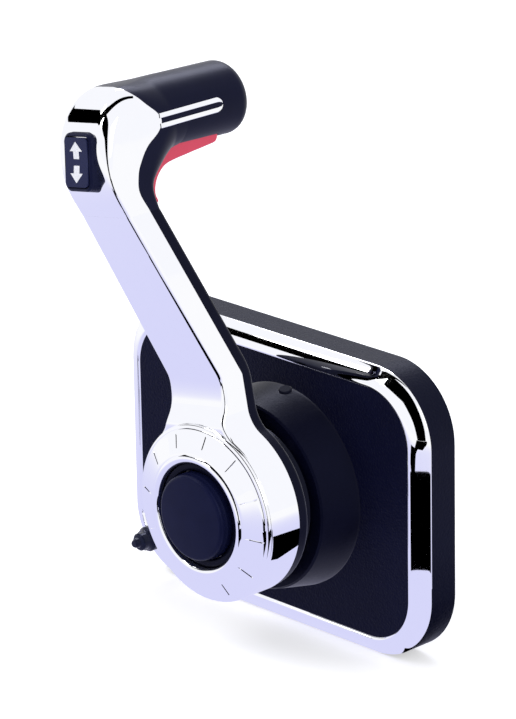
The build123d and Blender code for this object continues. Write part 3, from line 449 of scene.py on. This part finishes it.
bend_front = smooth_line([(side_line(arm_front, arm_top), arm_top), (-114.2, 163.0), (-116.6, 176.0),
                          (-114.6, 189.5), (-108.0, 200.9), (-98.0, 207.3),
                          (-86.0, grip_axis(-86.0) + grip_r - 0.22),
                          (elbow_end, grip_axis(elbow_end) + grip_r)],
                         300, first=(-slope, 1), last=(1, -grip_droop))
bend_rear = smooth_line([(side_line(arm_rear, arm_top), arm_top), (-88.2, 161.5), (-81.6, 167.0),
                         (-74.0, 170.4), (elbow_end, grip_axis(elbow_end) - grip_r)], 300)


def half_width(spots):
    """Half the elbow's width at points of its side view.

    The elbow is a fan of rounded sections between its front and rear line. A point lies on
    the section where its cross product with the section's line changes sign; there x is the
    section's half width, less r - sqrt(r r - (r - d)(r - d)) within r of either end.
    """
    spots = np.asarray(spots, dtype=float)
    flat = spots.reshape(-1, 2)
    ray = bend_front - bend_rear
    off = flat[:, None, :] - bend_rear[None, :, :]
    cross = ray[None, :, 0] * off[:, :, 1] - ray[None, :, 1] * off[:, :, 0]
    past = cross[:, 1:] > 0
    at = np.where(past.any(axis=1), past.argmax(axis=1), len(bend_front) - 2)
    here = np.arange(len(flat))
    a, b = cross[here, at], cross[here, at + 1]
    part = np.clip(np.where(np.abs(a - b) < 1e-9, 0.0, a / (a - b)), 0, 1)
    t = (at + part) / (len(bend_front) - 1)
    front = bend_front[at] + part[:, None] * (bend_front[at + 1] - bend_front[at])
    rear = bend_rear[at] + part[:, None] * (bend_rear[at + 1] - bend_rear[at])
    length = np.linalg.norm(front - rear, axis=1)
    deep = np.sum((front - flat) * (front - rear), axis=1) / length
    half = head_half + (grip_r - head_half) * np.minimum(1, 2.5 * t)
    corner = arm_corner + (grip_r - 0.05 - arm_corner) * np.minimum(1, 1.15 * t) ** 1.9
    edge = np.clip(np.minimum(deep, length - deep), 0, None)
    lost = corner - np.sqrt(np.clip(corner ** 2 - np.clip(corner - edge, 0, None) ** 2, 0, None))
    return (half - lost).reshape(spots.shape[:-1])


# The line on the head's flank where the chrome ends and the black begins, in side view: from
# the crest down to a nose beside the grip, back in a hollow and down to the arm's cover.
crest_y = -95.6
crest_join = (crest_y, float(np.interp(crest_y, bend_front[200:, 0], bend_front[200:, 1])))
nose, hollow_foot = (-80.6, 189.6), (-98.9, 168.0)
split_upper = smooth_line([crest_join, (-92.6, 203.4), (-88.0, 198.2), (-83.2, 194.0), nose, (-83.4, 184.8),
                           (-90.0, 180.6), (-95.8, 174.4), hollow_foot],
                          200, first=(0.25, -1), last=(-0.2, -1))
split_lower = smooth_line([hollow_foot, (-99.7, 162.0), (side_line(arm_split, arm_top), arm_top)], 60,
                          first=(-0.2, -1), last=(slope, -1))
split = np.concatenate([split_upper, split_lower[1:]])[::-1]


def lever_skin():
    """Chrome of hub and arm up to the head, right half of the front view.

    The outline goes round the hub's circle, a concave neck and up the tapered arm. At every
    point of it the wall runs forward at constant x and z, turns over a quarter circle of
    radius r and closes across the front, whose y follows the side view.
    """
    circle = np.radians(np.linspace(-90, 54.5, 76))
    drum = hub_r * np.stack([np.cos(circle), np.sin(circle)], axis=1)
    neck = np.radians(np.linspace(234.5, 181.5, 20)[1:])
    hollow = np.array(neck_at) + neck_r * np.stack([np.cos(neck), np.sin(neck)], axis=1)
    up = np.linspace(49.0, arm_top + 0.12, 70)
    arm = np.stack([arm_foot - arm_taper * up, up], axis=1)
    line = np.concatenate([drum, hollow, arm])
    ahead = np.gradient(line, axis=0)
    out = np.stack([ahead[:, 1], -ahead[:, 0]], axis=1) / np.linalg.norm(ahead, axis=1)[:, None]
    climb = smooth_line([(hub_front, 41.0), (-69.9, 48.4), (-68.3, 56.6),
                         (side_line(arm_front, 66.0), 66.0)], 60, first=(0, 1), last=(-slope, 1))
    front_z = np.concatenate([[-60.0], climb[:, 1], [arm_top + 1]])
    front_y = np.concatenate([[hub_front], climb[:, 0], [side_line(arm_front, arm_top + 1)]])
    x, z = line[:, 0], line[:, 1]
    round_r = np.interp(z, [20.0, 62.0], [0.5, arm_corner])
    back = np.where(z < 63.9, hub_rear, side_line(arm_split, z))
    rows = [np.stack([x - 1.2 * out[:, 0], back, z - 1.2 * out[:, 1]], axis=1)]
    for share in (0.0, 0.35, 0.96, 1.0):
        stop = np.interp(z, front_z, front_y) + round_r
        rows.append(np.stack([x, back + (stop - back) * share, z], axis=1))
    for turn in np.radians(np.arange(10, 91, 10)):
        inset = round_r * (1 - np.cos(turn))
        at_z = z - inset * out[:, 1]
        at_y = np.interp(at_z, front_z, front_y) + round_r * (1 - np.sin(turn))
        rows.append(np.stack([x - inset * out[:, 0], at_y, at_z], axis=1))
    last = rows[-1]
    for share in (0.96, 0.6, 0.3, 0.0):
        rows.append(np.stack([last[:, 0] * share, last[:, 1], last[:, 2]], axis=1))
    return np.array(rows)


def head_skin(rows=90, columns=44):
    """Chrome of the head, right half: lines of the side view from its front to the split.

    Along each line u = 1 - cos(v pi/2) crowds the points into the rounded front corner, and x
    comes from half_width; a last column turns in under the black part.
    """
    stop = int(np.argmin(np.linalg.norm(bend_front - np.array(crest_join), axis=1)))
    front = evenly(bend_front[:stop + 1], rows)
    rear = evenly(split, rows)
    u = 1 - np.cos(np.linspace(0, np.pi / 2, columns))
    spots = front[:, None, :] + u[None, :, None] * (rear - front)[:, None, :]
    x = half_width(spots)
    body = np.concatenate([x[..., None], spots], axis=2)
    middle = [np.concatenate([x[:, :1, None] * share, spots[:, :1]], axis=2)
              for share in (0.0, 0.4, 0.8, 0.97)]
    under = body[:, -1:] - np.array([1.4, 0, 0])
    return np.concatenate(middle + [body, under], axis=1)


def both_sides(part, flip=False):
    """Points and faces of a right half and its mirror image in x, facing outwards."""
    rows, columns = part.shape[:2]
    faces = grid_faces(rows, columns)
    mirrored = part * np.array([-1, 1, 1])
    other = faces[:, ::-1] + rows * columns
    if flip:
        faces, other = faces[:, ::-1], other[:, ::-1]
    return np.concatenate([part.reshape(-1, 3), mirrored.reshape(-1, 3)]), np.concatenate([faces, other])


lever_chrome = plated("lever_plate", chrome_tint, 0.012, 0.00001)
low_points, low_faces = both_sides(lever_skin(), flip=True)
high_points, high_faces = both_sides(head_skin())
points = np.concatenate([low_points, high_points])
faces = np.concatenate([low_faces, high_faces + len(low_points)])
lever = made_of("lever_casting", on_lever(points), faces, lever_chrome, "lever", 50.0)
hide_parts("lever_shell")


def turned(name, profile, material, body, count=180):
    """A turned piece on the hub's axis from (radius, y) points: x = r cos a, z = r sin a."""
    profile = np.asarray(profile, dtype=float)
    angle = np.linspace(0, 2 * np.pi, count, endpoint=False)
    r, y = profile[:, 0, None], profile[:, 1, None]
    points = np.stack([r * np.cos(angle), y + 0 * angle, r * np.sin(angle)], axis=-1)
    faces = grid_faces(len(profile), count, closed=True)[:, ::-1]
    return made_of(name, on_lever(points), faces, material, body)


# Ring pressed into the hub: turned, plated, with twelve fine radial lines engraved in its
# cone and a raised bead round its bore.
def ring_skin(lines=12, wide=0.5, deep=0.35):
    """The turned section (radius, y), its cone cut by v-shaped radial grooves.

    A groove's depth is deep (1 - |a| / wide) within wide degrees a of its line.
    """
    bore = [(25.5, -73.0), (25.5, -78.4), (25.7, -79.2), (26.2, -79.9), (27.0, -80.35), (27.9, -80.5),
            (28.8, -80.3), (29.4, -79.75), (29.75, -79.3), (30.4, -79.2), (30.9, -79.05), (31.4, -78.85)]
    slant = [(34.0, -77.8), (37.0, -76.6), (39.6, -75.6)]
    rim = [(40.2, -75.35), (40.8, -75.05), (41.2, -74.75), (41.35, -74.55), (41.9, -74.5), (42.5, -74.3),
           (42.95, -73.9), (43.2, -73.3), (43.25, -72.9)]
    profile = np.array(bore + slant + rim)
    cone = np.interp(profile[:, 0], [31.3, 31.6, 39.9, 40.3], [0, 1, 1, 0])
    centre = np.radians(360 / lines * (np.arange(lines) + 0.5))
    near = np.radians(np.array([-3.0, -1.5, -0.7, -0.5, 0.0, 0.5, 0.7, 1.5, 3.0]))
    between = np.radians(np.array([-12.0, -9.0, -6.0, 6.0, 9.0, 12.0, 15.0]))
    angle = np.sort((centre[:, None] + np.concatenate([near, between])[None, :]).ravel())
    off = np.abs((angle[:, None] - centre[None, :] + np.pi) % (2 * np.pi) - np.pi).min(axis=1)
    r, y = profile[:, 0, None], profile[:, 1, None]
    cut = np.clip(1 - off[None, :] / np.radians(wide), 0, 1) * deep * cone[:, None]
    points = np.stack([r * np.cos(angle), y + cut, r * np.sin(angle)], axis=-1)
    return points, grid_faces(len(profile), len(angle), closed=True)[:, ::-1]


points, faces = ring_skin()
ring_chrome = plated("ring_plate", chrome_tint, 0.015)
ring = made_of("plated_ring", on_lever(points), faces, ring_chrome, "lever", 30.0)
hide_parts("hub_ring")


# ------------------------------------------------------------ black lever mouldings
# Rear cover of the arm, cup round the throttle button, the grip itself and the
# switch frame, all black mouldings with a satin sheen.
def satin(name, dark, light, roughness, depth=0.00002, coat=0.0, specular=0.1):
    """Satin black moulding: a soft broad sheen over a faint texture."""
    material, shader, any_amount = finish(name, roughness, coat=coat, coat_rough=0.25, specular=specular)
    cloud = any_amount.noise(70.0)
    fine = any_amount.noise(1500.0, 2.0, 0.6)
    tree = material.node_tree
    tree.links.new(cloud.blend(dark, light), shader.inputs["Base Color"])
    tree.links.new((cloud * 0.08 + fine * 0.1 + (roughness - 0.09)).socket, shader.inputs["Roughness"])
    tree.links.new(fine.bump(depth), shader.inputs["Normal"])
    return material


cover_black = satin("cover_satin", (0.0015, 0.0018, 0.008), (0.004, 0.0045, 0.016), 0.38)
polished("lever_cover", cover_black, "lever")
cup = [(21.5, -72.4), (21.5, -76.6), (21.8, -77.2), (22.4, -77.6), (24.2, -77.7), (24.9, -77.4),
       (25.3, -76.8), (25.4, -75.0), (25.4, -72.0)]
guide = turned("button_cup", cup, cover_black, "lever")
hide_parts("button_guide")
button_black = satin("button_satin", (0.003, 0.004, 0.022), (0.007, 0.009, 0.04), 0.36, specular=0.11)
dome_r, edge_r, dome_top, dome_drop = 18.9, 1.9, -84.55, 0.9
edge_y = dome_top + dome_drop + edge_r
r = np.linspace(0.02, dome_r, 16)
dome = np.stack([r, dome_top + dome_drop * (r / dome_r) ** 2], axis=1)[::-1]
corner = np.radians(np.linspace(0, 90, 10))[1:]
edge = np.stack([dome_r + edge_r * np.cos(corner), edge_y - edge_r * np.sin(corner)], axis=1)
skirt = [(21.15, -72.5), (21.15, -79.4), (21.05, -79.8), (20.8, -80.2), (20.8, edge_y)]
button = turned("button_cap", np.concatenate([skirt, edge, dome[1:]]), button_black, "button")
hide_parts("throttle_button")


# Grip: one soft-touch moulding that carries on the head's form, a tube of radius 17.5 whose
# axis droops 2 degrees, with a channel for the trigger along its underside. The channel's
# roof, in side view, clears the squeezed trigger and its lock rod.
slot_half, slot_deep = 8.65, 11.5
rod_clear, slot_front, slot_end = 29.8, -97.0, -39.8
slot_roof = np.array([(side_line(rod_clear, 149.0), 149.0), (side_line(rod_clear, 166.8), 166.8),
                      (slot_front, 172.4), (-89.6, 178.4), (-78.6, 182.6), (-66.0, 187.2), (-60.0, 187.6)])


def share_at(line, knots):
    """How far along a line its nearest points to the knots lie, as shares, with both ends."""
    nearest = [int(np.argmin(np.linalg.norm(line - np.array(knot), axis=1))) for knot in knots]
    return [0.0] + [at / (len(line) - 1) for at in nearest] + [1.0]


def at_shares(line, shares):
    """Points of a line at shares of its count."""
    where = shares * (len(line) - 1)
    return np.stack([np.interp(where, np.arange(len(line)), line[:, i]) for i in (0, 1)], axis=1)


def elbow_skin(rows=110, columns=26):
    """Black rear of the elbow, right half, on lines from the split to the rear line and the tube.

    The hollow's foot and the nose of the split are tied to a knot on the far line each. Where
    the far end is on the rear line, the skin turns in at the channel's mouth, goes up to its
    roof and across to the middle.
    """
    wall = np.stack([np.full(60, elbow_end), np.linspace(bend_rear[-1, 1], bend_front[-1, 1], 60)], axis=1)
    far = evenly(np.concatenate([bend_rear, wall[1:]]), 600)
    t = 1 - (1 - np.linspace(0, 1, rows)) ** 1.7
    tied = np.array([0.0, 0.42, 0.8, 1.0])
    start = at_shares(split, np.interp(t, tied, share_at(split, (hollow_foot, nose))))
    stop = at_shares(far, np.interp(t, tied, share_at(far, ((-81.6, 167.0), (elbow_end, 187.0)))))
    u = np.sin(np.linspace(0, np.pi / 2, columns))
    spots = start[:, None, :] + u[None, :, None] * (stop - start)[:, None, :]
    x = half_width(spots) - 0.05 - 0.45 * np.clip(1 - t * 4, 0, 1)[:, None]
    body = np.concatenate([x[..., None], spots], axis=2)
    inner = body[:, :1] - np.array([1.6, 0, 0])
    inward = (start - stop) / np.linalg.norm(start - stop, axis=1)[:, None]
    shut = np.clip((elbow_end - 0.3 - stop[:, 0]) * 4, 0, 1)
    mouth = np.minimum(slot_half, x[:, -1])
    side = np.stack([x[:, -1] + (mouth - x[:, -1]) * shut, stop[:, 0], stop[:, 1]], axis=1)
    steps = np.linspace(0, 30, 121)
    ray = stop[:, None] + inward[:, None] * steps[None, :, None]
    miss = np.linalg.norm(ray[:, :, None] - evenly(slot_roof, 120)[None, None], axis=-1).min(axis=2)
    top = stop + inward * (steps[miss.argmin(axis=1)] * shut)[:, None]
    wall_in = np.concatenate([side[:, :1], top], axis=1)
    centre = np.concatenate([side[:, :1] * (1 - shut)[:, None], top], axis=1)
    whole = np.concatenate([inner, body, side[:, None], wall_in[:, None], centre[:, None]], axis=1)
    return np.concatenate([whole, whole[-1:] * np.array([0.0, 1.0, 1.0])])


def tube_skin():
    """Round part of the grip, right half, from the elbow to its rounded far end.

    Rows go along the axis and the radius falls on a quarter circle at the end; columns go
    round from the top, angle a from 0, to the channel's edge and then up its wall.
    """
    end_r, end_y = 6.5, -23.0
    slot_rows = 15
    run = np.concatenate([np.linspace(elbow_end - 0.8, -39.4, slot_rows - 1), [-39.2, -39.1, -38.6],
                          np.linspace(-37.0, end_y - end_r, 6)])
    turn = np.radians(np.linspace(0, 90, 14))[1:]
    y = np.concatenate([run, end_y - end_r + end_r * np.sin(turn), [end_y] * 4])
    radius = np.concatenate([np.full(len(run), grip_r), grip_r - end_r + end_r * np.cos(turn),
                             (grip_r - end_r) * np.array([0.7, 0.45, 0.2, 0.001])]) - 0.05
    open_slot = (np.arange(len(y)) < slot_rows)[:, None]
    edge = np.pi - np.arcsin(slot_half / radius[0])
    outer, inner = 56, 6
    under = edge + (np.pi - edge) * np.arange(1, inner + 1) / inner
    angle = np.concatenate([np.linspace(0, edge, outer), under])[None, :]
    centre = grip_axis(np.minimum(y, end_y))[:, None]
    x = radius[:, None] * np.sin(angle)
    z = centre + radius[:, None] * np.cos(angle)
    roof = z[:, outer - 1:outer] + slot_deep
    across = np.concatenate([[1.0], np.linspace(1, 0, inner - 1)])[None, :] * slot_half
    x[:, outer:] = np.where(open_slot, across, x[:, outer:])
    z[:, outer:] = np.where(open_slot, roof, z[:, outer:])
    return np.stack([x, np.repeat(y[:, None], outer + inner, axis=1), z], axis=-1)


grip_black = satin("grip_satin", (0.003, 0.0035, 0.014), (0.006, 0.007, 0.026), 0.34, specular=0.13)
elbow_points, elbow_faces = both_sides(elbow_skin())
tube_points, tube_faces = both_sides(tube_skin())
points = np.concatenate([elbow_points, tube_points])
faces = np.concatenate([elbow_faces, tube_faces + len(elbow_points)])
mid_x, mid_y, mid_z = points[faces].mean(axis=1).T
roof = np.interp(mid_y, slot_roof[1:, 0], slot_roof[1:, 1])
between = (np.abs(mid_x) < slot_half - 0.05) & (mid_y > slot_front) & (mid_y < slot_end)
in_slot = between & (mid_z < roof - 0.5)
grip = made_of("grip_moulding", on_lever(points), faces[~in_slot], grip_black, "lever", 40.0)
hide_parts("grip")


# Plated strips let into both flanks of the grip, round at the far end, each with a black
# channel along its middle: proud by 0.3 on the two bands and sunk by 0.3 between them.
def strip_skin():
    """Rows along y, columns v across the strip at x of the grip's own surface plus proud."""
    half = 3.5
    v = np.array([-1.0, -0.985, -0.93, -0.4, -0.36, -0.34, 0.34, 0.36, 0.4, 0.93, 0.985, 1.0])
    proud = np.array([-0.5, 0.15, 0.3, 0.3, 0.2, -0.35, -0.35, 0.2, 0.3, 0.3, 0.15, -0.5])
    far_y = -42.2
    turn = np.radians(np.arange(8, 90, 8))
    y = np.concatenate([np.linspace(nose[0] - 1, far_y - half, 22), far_y - half + half * np.sin(turn)])
    squeeze = np.sqrt(np.clip(1 - np.clip((y - far_y + half) / half, 0, 0.995) ** 2, 0, 1))
    middle = grip_axis(y) - 0.3 + 0.026 * (y - far_y)
    z = middle[:, None] + half * squeeze[:, None] * v[None, :]
    below = (z - grip_axis(y)[:, None]).clip(-17, 17)
    y = np.repeat(y[:, None], len(v), axis=1)
    round_x = np.sqrt(grip_r ** 2 - below ** 2)
    x = np.where(y < elbow_end, half_width(np.stack([y, z], axis=-1)), round_x) + proud[None, :]
    return np.stack([x, y, z], axis=-1)


half_strip = strip_skin()
points, faces = both_sides(half_strip, flip=True)
channel = 5
kinds = np.tile((np.arange(half_strip.shape[1] - 1) == channel).astype(int), half_strip.shape[0] - 1)
strip_kinds = [plated("inlay_plate", chrome_tint, 0.03), grip_black]
inlay = made_of("plated_strips", on_lever(points), faces, strip_kinds, "lever", 30.0, np.tile(kinds, 2))
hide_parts("grip_inlay")


# Trim switch on the front of the head: a black frame and a rocker cap with two white
# arrows printed on it, one for raising the drive and one for lowering it.
switch_black = satin("switch_satin", (0.004, 0.005, 0.02), (0.009, 0.011, 0.04), 0.34, specular=0.14)
polished("rocker_frame", switch_black, "lever", 25.0)
cap_black = satin("cap_satin", (0.010, 0.012, 0.045), (0.018, 0.022, 0.075), 0.36, specular=0.22)
polished("trim_rocker", cap_black, "rocker", 25.0)
put_on(switch_black, "rocker_pin")
ink, ink_shader, ink_amount = finish("arrow_ink", 0.45)
ink.node_tree.links.new(ink_amount.noise(900.0, 2.0).blend((0.86, 0.87, 0.92), (0.93, 0.94, 0.98)),
                        ink_shader.inputs["Base Color"])


switch_y, switch_z, switch_tilt = -119.2, 178.0, np.radians(8.5)


def arrow_skin():
    """Two flat arrows on the cap's slopes; s is up the cap, which rises 0.7 from its middle."""
    one = np.array([(-1.9, 1.5), (1.9, 1.5), (1.9, 5.0), (4.2, 5.0), (0.0, 9.4), (-4.2, 5.0), (-1.9, 5.0)])
    flat = np.concatenate([one, one * np.array([1, -1])])
    s = flat[:, 1]
    lift = 0.9 - 0.7 * (1 - np.abs(s) / 11.3) + 0.06
    return np.stack([flat[:, 0], switch_y + s * np.sin(switch_tilt) - lift * np.cos(switch_tilt),
                     switch_z + s * np.cos(switch_tilt) + lift * np.sin(switch_tilt)], axis=1)


shaft_and_head = [(0, 1, 2, 6), (3, 4, 5), (13, 9, 8, 7), (12, 11, 10)]
mesh = bpy.data.meshes.new("trim_arrows")
mesh.from_pydata(on_lever(arrow_skin()).tolist(), [], shaft_and_head)
mesh.materials.append(ink)
arrows = bpy.data.objects.new("trim_arrows", mesh)
bpy.context.scene.collection.objects.link(arrows)
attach(arrows, "rocker")


# Engine-stop switch in the panel's lower corner: a turned collar and its push knob.
knob = satin("knob_gloss", (0.004, 0.005, 0.016), (0.009, 0.011, 0.03), 0.25, specular=0.25)
polished("stop_collar", knob, "base")
polished("stop_knob", knob, "stop")


# ---------------------------------------------------------------- neutral trigger
# Red trigger under the grip that frees the lever from its neutral lock, moulded
# in acetal with a smooth satin skin.
red, red_shader, red_amount = finish("trigger_red", 0.32, coat=0.25, coat_rough=0.2)
tone = red_amount.noise(60.0)
speck = red_amount.noise(1400.0, 2.0)
red.node_tree.links.new(tone.blend((0.80, 0.04, 0.10), (0.86, 0.06, 0.13)),
                        red_shader.inputs["Base Color"])
red.node_tree.links.new((speck * 0.12 + 0.27).socket, red_shader.inputs["Roughness"])
red.node_tree.links.new(speck.bump(0.00001), red_shader.inputs["Normal"])


def trigger_skin(half=8.2, ease=1.3):
    """Blade and elbow of the trigger, right half: a strip between its outer and inner line.

    The outer line is the edge that the fingers pull. Columns run from the middle to x = half,
    round the edge on a quarter circle of radius ease and then inwards to the inner line.
    """
    rows = 90
    outer = smooth_line([(-39.4, 173.9), (-39.6, 172.0), (-40.6, 170.7), (-43.0, 170.1), (-49.0, 169.6),
                         (-55.0, 169.1), (-62.0, 168.5), (-69.0, 167.8), (-73.6, 166.7), (-77.2, 164.4),
                         (-80.0, 161.0), (-81.6, 156.8), (-81.3, 153.2), (-80.8, 151.4), (-82.2, 150.6),
                         (-84.4, 150.8)], rows)
    inner = smooth_line([(-39.9, 176.9), (-60.0, 177.4), (-76.0, 176.4), (-86.0, 172.4), (-92.0, 166.0),
                         (-92.4, 160.2), (-87.6, 153.6), (-85.6, 151.6)], rows)
    toward = (inner - outer) / np.linalg.norm(inner - outer, axis=1)[:, None]
    turn = np.radians(np.linspace(0, 90, 8))
    x = np.concatenate([[0.0, half - ease - 0.1], half - ease + ease * np.sin(turn), [half, half, 0.0]])
    share = np.concatenate([[0.0, 0.0], ease * (1 - np.cos(turn)), [ease + 0.1]])
    edge = outer[:, None, :] + toward[:, None, :] * share[None, :, None]
    spots = np.concatenate([edge, inner[:, None], inner[:, None]], axis=1)
    return np.concatenate([np.repeat(x[None, :, None], rows, axis=0), spots], axis=2)


points, faces = both_sides(trigger_skin())
blade = made_of("trigger_blade", on_lever(points), faces, red, "trigger", 40.0)
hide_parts("neutral_trigger")


# ----------------------------------------------------------- floor, lamps, camera
# The control stands on its housing's lower edge on a pale studio floor, under
# large soft lamps, with black cards beside it that only the chrome shows.
def sheet_of(name, corners):
    """A flat four-cornered stage sheet."""
    mesh = bpy.data.meshes.new(name)
    mesh.from_pydata(corners, [], [(0, 1, 2, 3)])
    made = bpy.data.objects.new(name, mesh)
    bpy.context.scene.collection.objects.link(made)
    made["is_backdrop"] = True
    return made


floor_z, floor_half = float(low_corner[2]) - 0.0004, 6
floor_signs = ((-1, -1), (1, -1), (1, 1), (-1, 1))
floor = sheet_of("studio_floor", [(i * floor_half, j * floor_half, floor_z) for i, j in floor_signs])
paint = bpy.data.materials.new("floor_paint")
paint.use_nodes = True
tree = paint.node_tree
tree.nodes.clear()
start = Amount(tree, None)
rays = start.add("ShaderNodeLightPath")
matt = start.add("ShaderNodeBsdfDiffuse", Color=(0.86, 0.86, 0.87, 1))
# Glossy rays see the floor as a glow instead of lit paint: a painted reflection, with painted shade as
# dimmer lavender near the control and white farther out. Cameras see the lit floor with a faint even glow
# added.
east, north, _ = start.place()
off = north + 0.06
square = east * east + off * off
reach = square.maths("SQRT", square).step(0.14, 0.8)
shiny = Amount(tree, rays.outputs["Is Glossy Ray"])
painted_mirror_tint = reach.blend((0.70, 0.70, 0.96), (1.0, 1.0, 1.0))
mirrored = start.add("ShaderNodeEmission", Color=painted_mirror_tint, Strength=1.0)
glow = start.add("ShaderNodeEmission", Color=(1, 1, 1, 1),
                 Strength=Amount(tree, rays.outputs["Is Camera Ray"]) * 0.5)
both = start.add("ShaderNodeAddShader", _0=matt.outputs[0], _1=glow.outputs[0])
seen = start.add("ShaderNodeMixShader", _0=shiny, _1=both.outputs[0], _2=mirrored.outputs[0])
start.add("ShaderNodeOutputMaterial", Surface=seen.outputs[0])
floor.data.materials.append(paint)

world = bpy.data.worlds.new("studio")
bpy.context.scene.world = world
world.use_nodes = True
tree = world.node_tree
tree.nodes.clear()
start = Amount(tree, None)
rays = start.add("ShaderNodeLightPath")
seen = Amount(tree, rays.outputs["Is Camera Ray"]) + Amount(tree, rays.outputs["Is Transmission Ray"])
shiny = Amount(tree, rays.outputs["Is Glossy Ray"])
plain = start.add("ShaderNodeBackground", Color=(0.93, 0.94, 1.0, 1), Strength=0.62)
white = start.add("ShaderNodeBackground", Color=(1, 1, 1, 1), Strength=1.0)
gloss = start.add("ShaderNodeBackground", Color=(0.97, 0.975, 1.0, 1), Strength=1.0)
mirror = start.add("ShaderNodeMixShader", _0=shiny, _1=plain.outputs[0], _2=gloss.outputs[0])
view = start.add("ShaderNodeMixShader", _0=seen, _1=mirror.outputs[0], _2=white.outputs[0])
start.add("ShaderNodeOutputWorld", Surface=view.outputs[0])


def lamp(name, place, aim, size, power, colour=(1, 1, 1)):
    """A soft rectangular lamp at place, turned towards aim."""
    light = bpy.data.lights.new(name, "AREA")
    light.shape = "RECTANGLE"
    light.size, light.size_y = size
    light.energy = power
    light.color = colour
    made = bpy.data.objects.new(name, light)
    made.location = place
    made.rotation_euler = (Vector(aim) - Vector(place)).to_track_quat("-Z", "Y").to_euler()
    bpy.context.scene.collection.objects.link(made)


felt = bpy.data.materials.new("black_felt")
felt.use_nodes = True
tree = felt.node_tree
tree.nodes.clear()
start = Amount(tree, None)
black = start.add("ShaderNodeBsdfDiffuse", Color=(0, 0, 0, 1))
start.add("ShaderNodeOutputMaterial", Surface=black.outputs[0])


def black_sheet(name, points, faces):
    """A black felt sheet that only mirrors show."""
    mesh = bpy.data.meshes.new(name)
    mesh.from_pydata(points.reshape(-1, 3).tolist(), [], faces.tolist())
    mesh.materials.append(felt)
    made = bpy.data.objects.new(name, mesh)
    bpy.context.scene.collection.objects.link(made)
    made.visible_camera = made.visible_diffuse = made.visible_shadow = made.visible_transmission = False
    made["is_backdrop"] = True


card_middle, card_far, card_count = (0.0, -0.06, 0.08), 1.15, 60


def card(name, path, half):
    """Black card in the air: a band along a smooth line of directions from the control's middle.

    Each direction d goes card_far metres out; the band reaches to both sides along d x t, t
    being the line's own direction, by half degrees, given at even steps along the line.
    """
    line = smooth_line(path, card_count)
    line /= np.linalg.norm(line, axis=1)[:, None]
    side = np.cross(line, np.gradient(line, axis=0))
    side /= np.linalg.norm(side, axis=1)[:, None]
    degrees = np.interp(np.linspace(0, 1, card_count), np.linspace(0, 1, len(half)), half)
    spread = np.tan(np.radians(degrees))[:, None, None] * np.linspace(-1, 1, 5)[None, :, None]
    way = line[:, None] + side[:, None] * spread
    black_sheet(name, np.array(card_middle) + card_far * way, grid_faces(card_count, 5))


def floor_card(name, centre, radii, azimuths):
    """Black card lying on the floor, a sector of a ring: x = r cos a, y = r sin a."""
    r = np.linspace(*radii, 3)[:, None]
    a = np.radians(np.linspace(*azimuths, 40))[None, :]
    level = 0 * r * a + floor_z + 0.0006
    points = np.stack([centre[0] + r * np.cos(a), centre[1] + r * np.sin(a), level], axis=-1)
    black_sheet(name, points, grid_faces(3, 40))


card("over_card", [(-0.90, -0.05, 0.33), (-0.80, -0.35, 0.45), (-0.66, -0.53, 0.53), (-0.42, -0.50, 0.75),
                   (-0.147, -0.374, 0.911), (0.158, 0.165, 0.968), (0.22, 0.58, 0.78)],
     (6.0, 7.0, 7.5, 6.5, 5.0))
card("corner_card", [(-0.25, -0.60, 0.75), (0.05, -0.68, 0.73), (0.32, -0.68, 0.66), (0.50, -0.72, 0.46),
                     (0.60, -0.72, 0.25), (0.66, -0.72, 0.0), (0.67, -0.70, -0.16)],
     (12.0, 13.0, 12.0, 9.0, 7.0))
floor_card("far_floor_card", (0.0, -0.06), (0.42, 1.1), (-56, -35))
floor_card("near_floor_card", (0.095, -0.02), (0.125, 0.26), (-100, 12))
floor_card("ridge_floor_card", (0.0, -0.1), (0.20, 0.40), (-72, -42))
side_corners = ((0.0773, -0.013), (0.0827, -0.019), (0.185, 0.038), (0.145, 0.082))
black_sheet("side_floor_card", np.array([(*corner, floor_z + 0.0007) for corner in side_corners]),
            np.array([[0, 1, 2, 3]]))

# Glossy rays skip every piece on these bodies, so the plating doesn't mirror the panel,
# the bezel, the housing or the trigger.
unmirrored = (["base"], ["trigger"], ["detent"], ["stop"])
for piece in bpy.data.objects:
    if piece.type == "MESH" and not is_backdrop(piece) and body_of(piece) in unmirrored:
        piece.visible_glossy = False
lamp("key_softbox", (-0.7, -0.9, 1.25), (0, 0, 0.05), (0.9, 0.7), 9.0)
lamp("side_softbox", (1.3, -0.2, 0.7), (0, 0, 0.05), (0.6, 0.8), 4.0)
lamp("rim_strip", (-0.62, 0.72, 0.95), (0, -0.06, 0.15), (0.7, 0.28), 5.0, (0.86, 0.88, 1.0))

# Long-lens camera. The focal length, the frame's height and the aim's offset from the
# direction -back are in picture points, the place in metres.
focal, frame_high, aim_right, aim_up = 4500.0, 719.0, 44.79, 107.14
sensor = 36.0
camera_data = bpy.data.cameras.new("camera")
camera_data.sensor_width = sensor
camera_data.lens = sensor * focal / frame_high
camera_data.clip_end = 50.0
camera = bpy.data.objects.new("camera", camera_data)
right = Vector((0.70819568, 0.70587785, -0.0139766))
up = Vector((-0.24475867, 0.26403488, 0.93294093))
back = Vector((0.66223265, -0.65728384, 0.35975808))
aim = (-back * focal - right * aim_right + up * aim_up).normalized()
side = (right + aim * -right.dot(aim)).normalized()
over = side.cross(aim)
turn = Matrix((side, over, -aim)).transposed().to_4x4()
camera.matrix_world = Matrix.Translation((1.427685, -1.417016, 0.775590)) @ turn
bpy.context.scene.collection.objects.link(camera)
bpy.context.scene.camera = camera
bpy.context.scene.view_settings.view_transform = "Standard"

low_corner, high_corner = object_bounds()
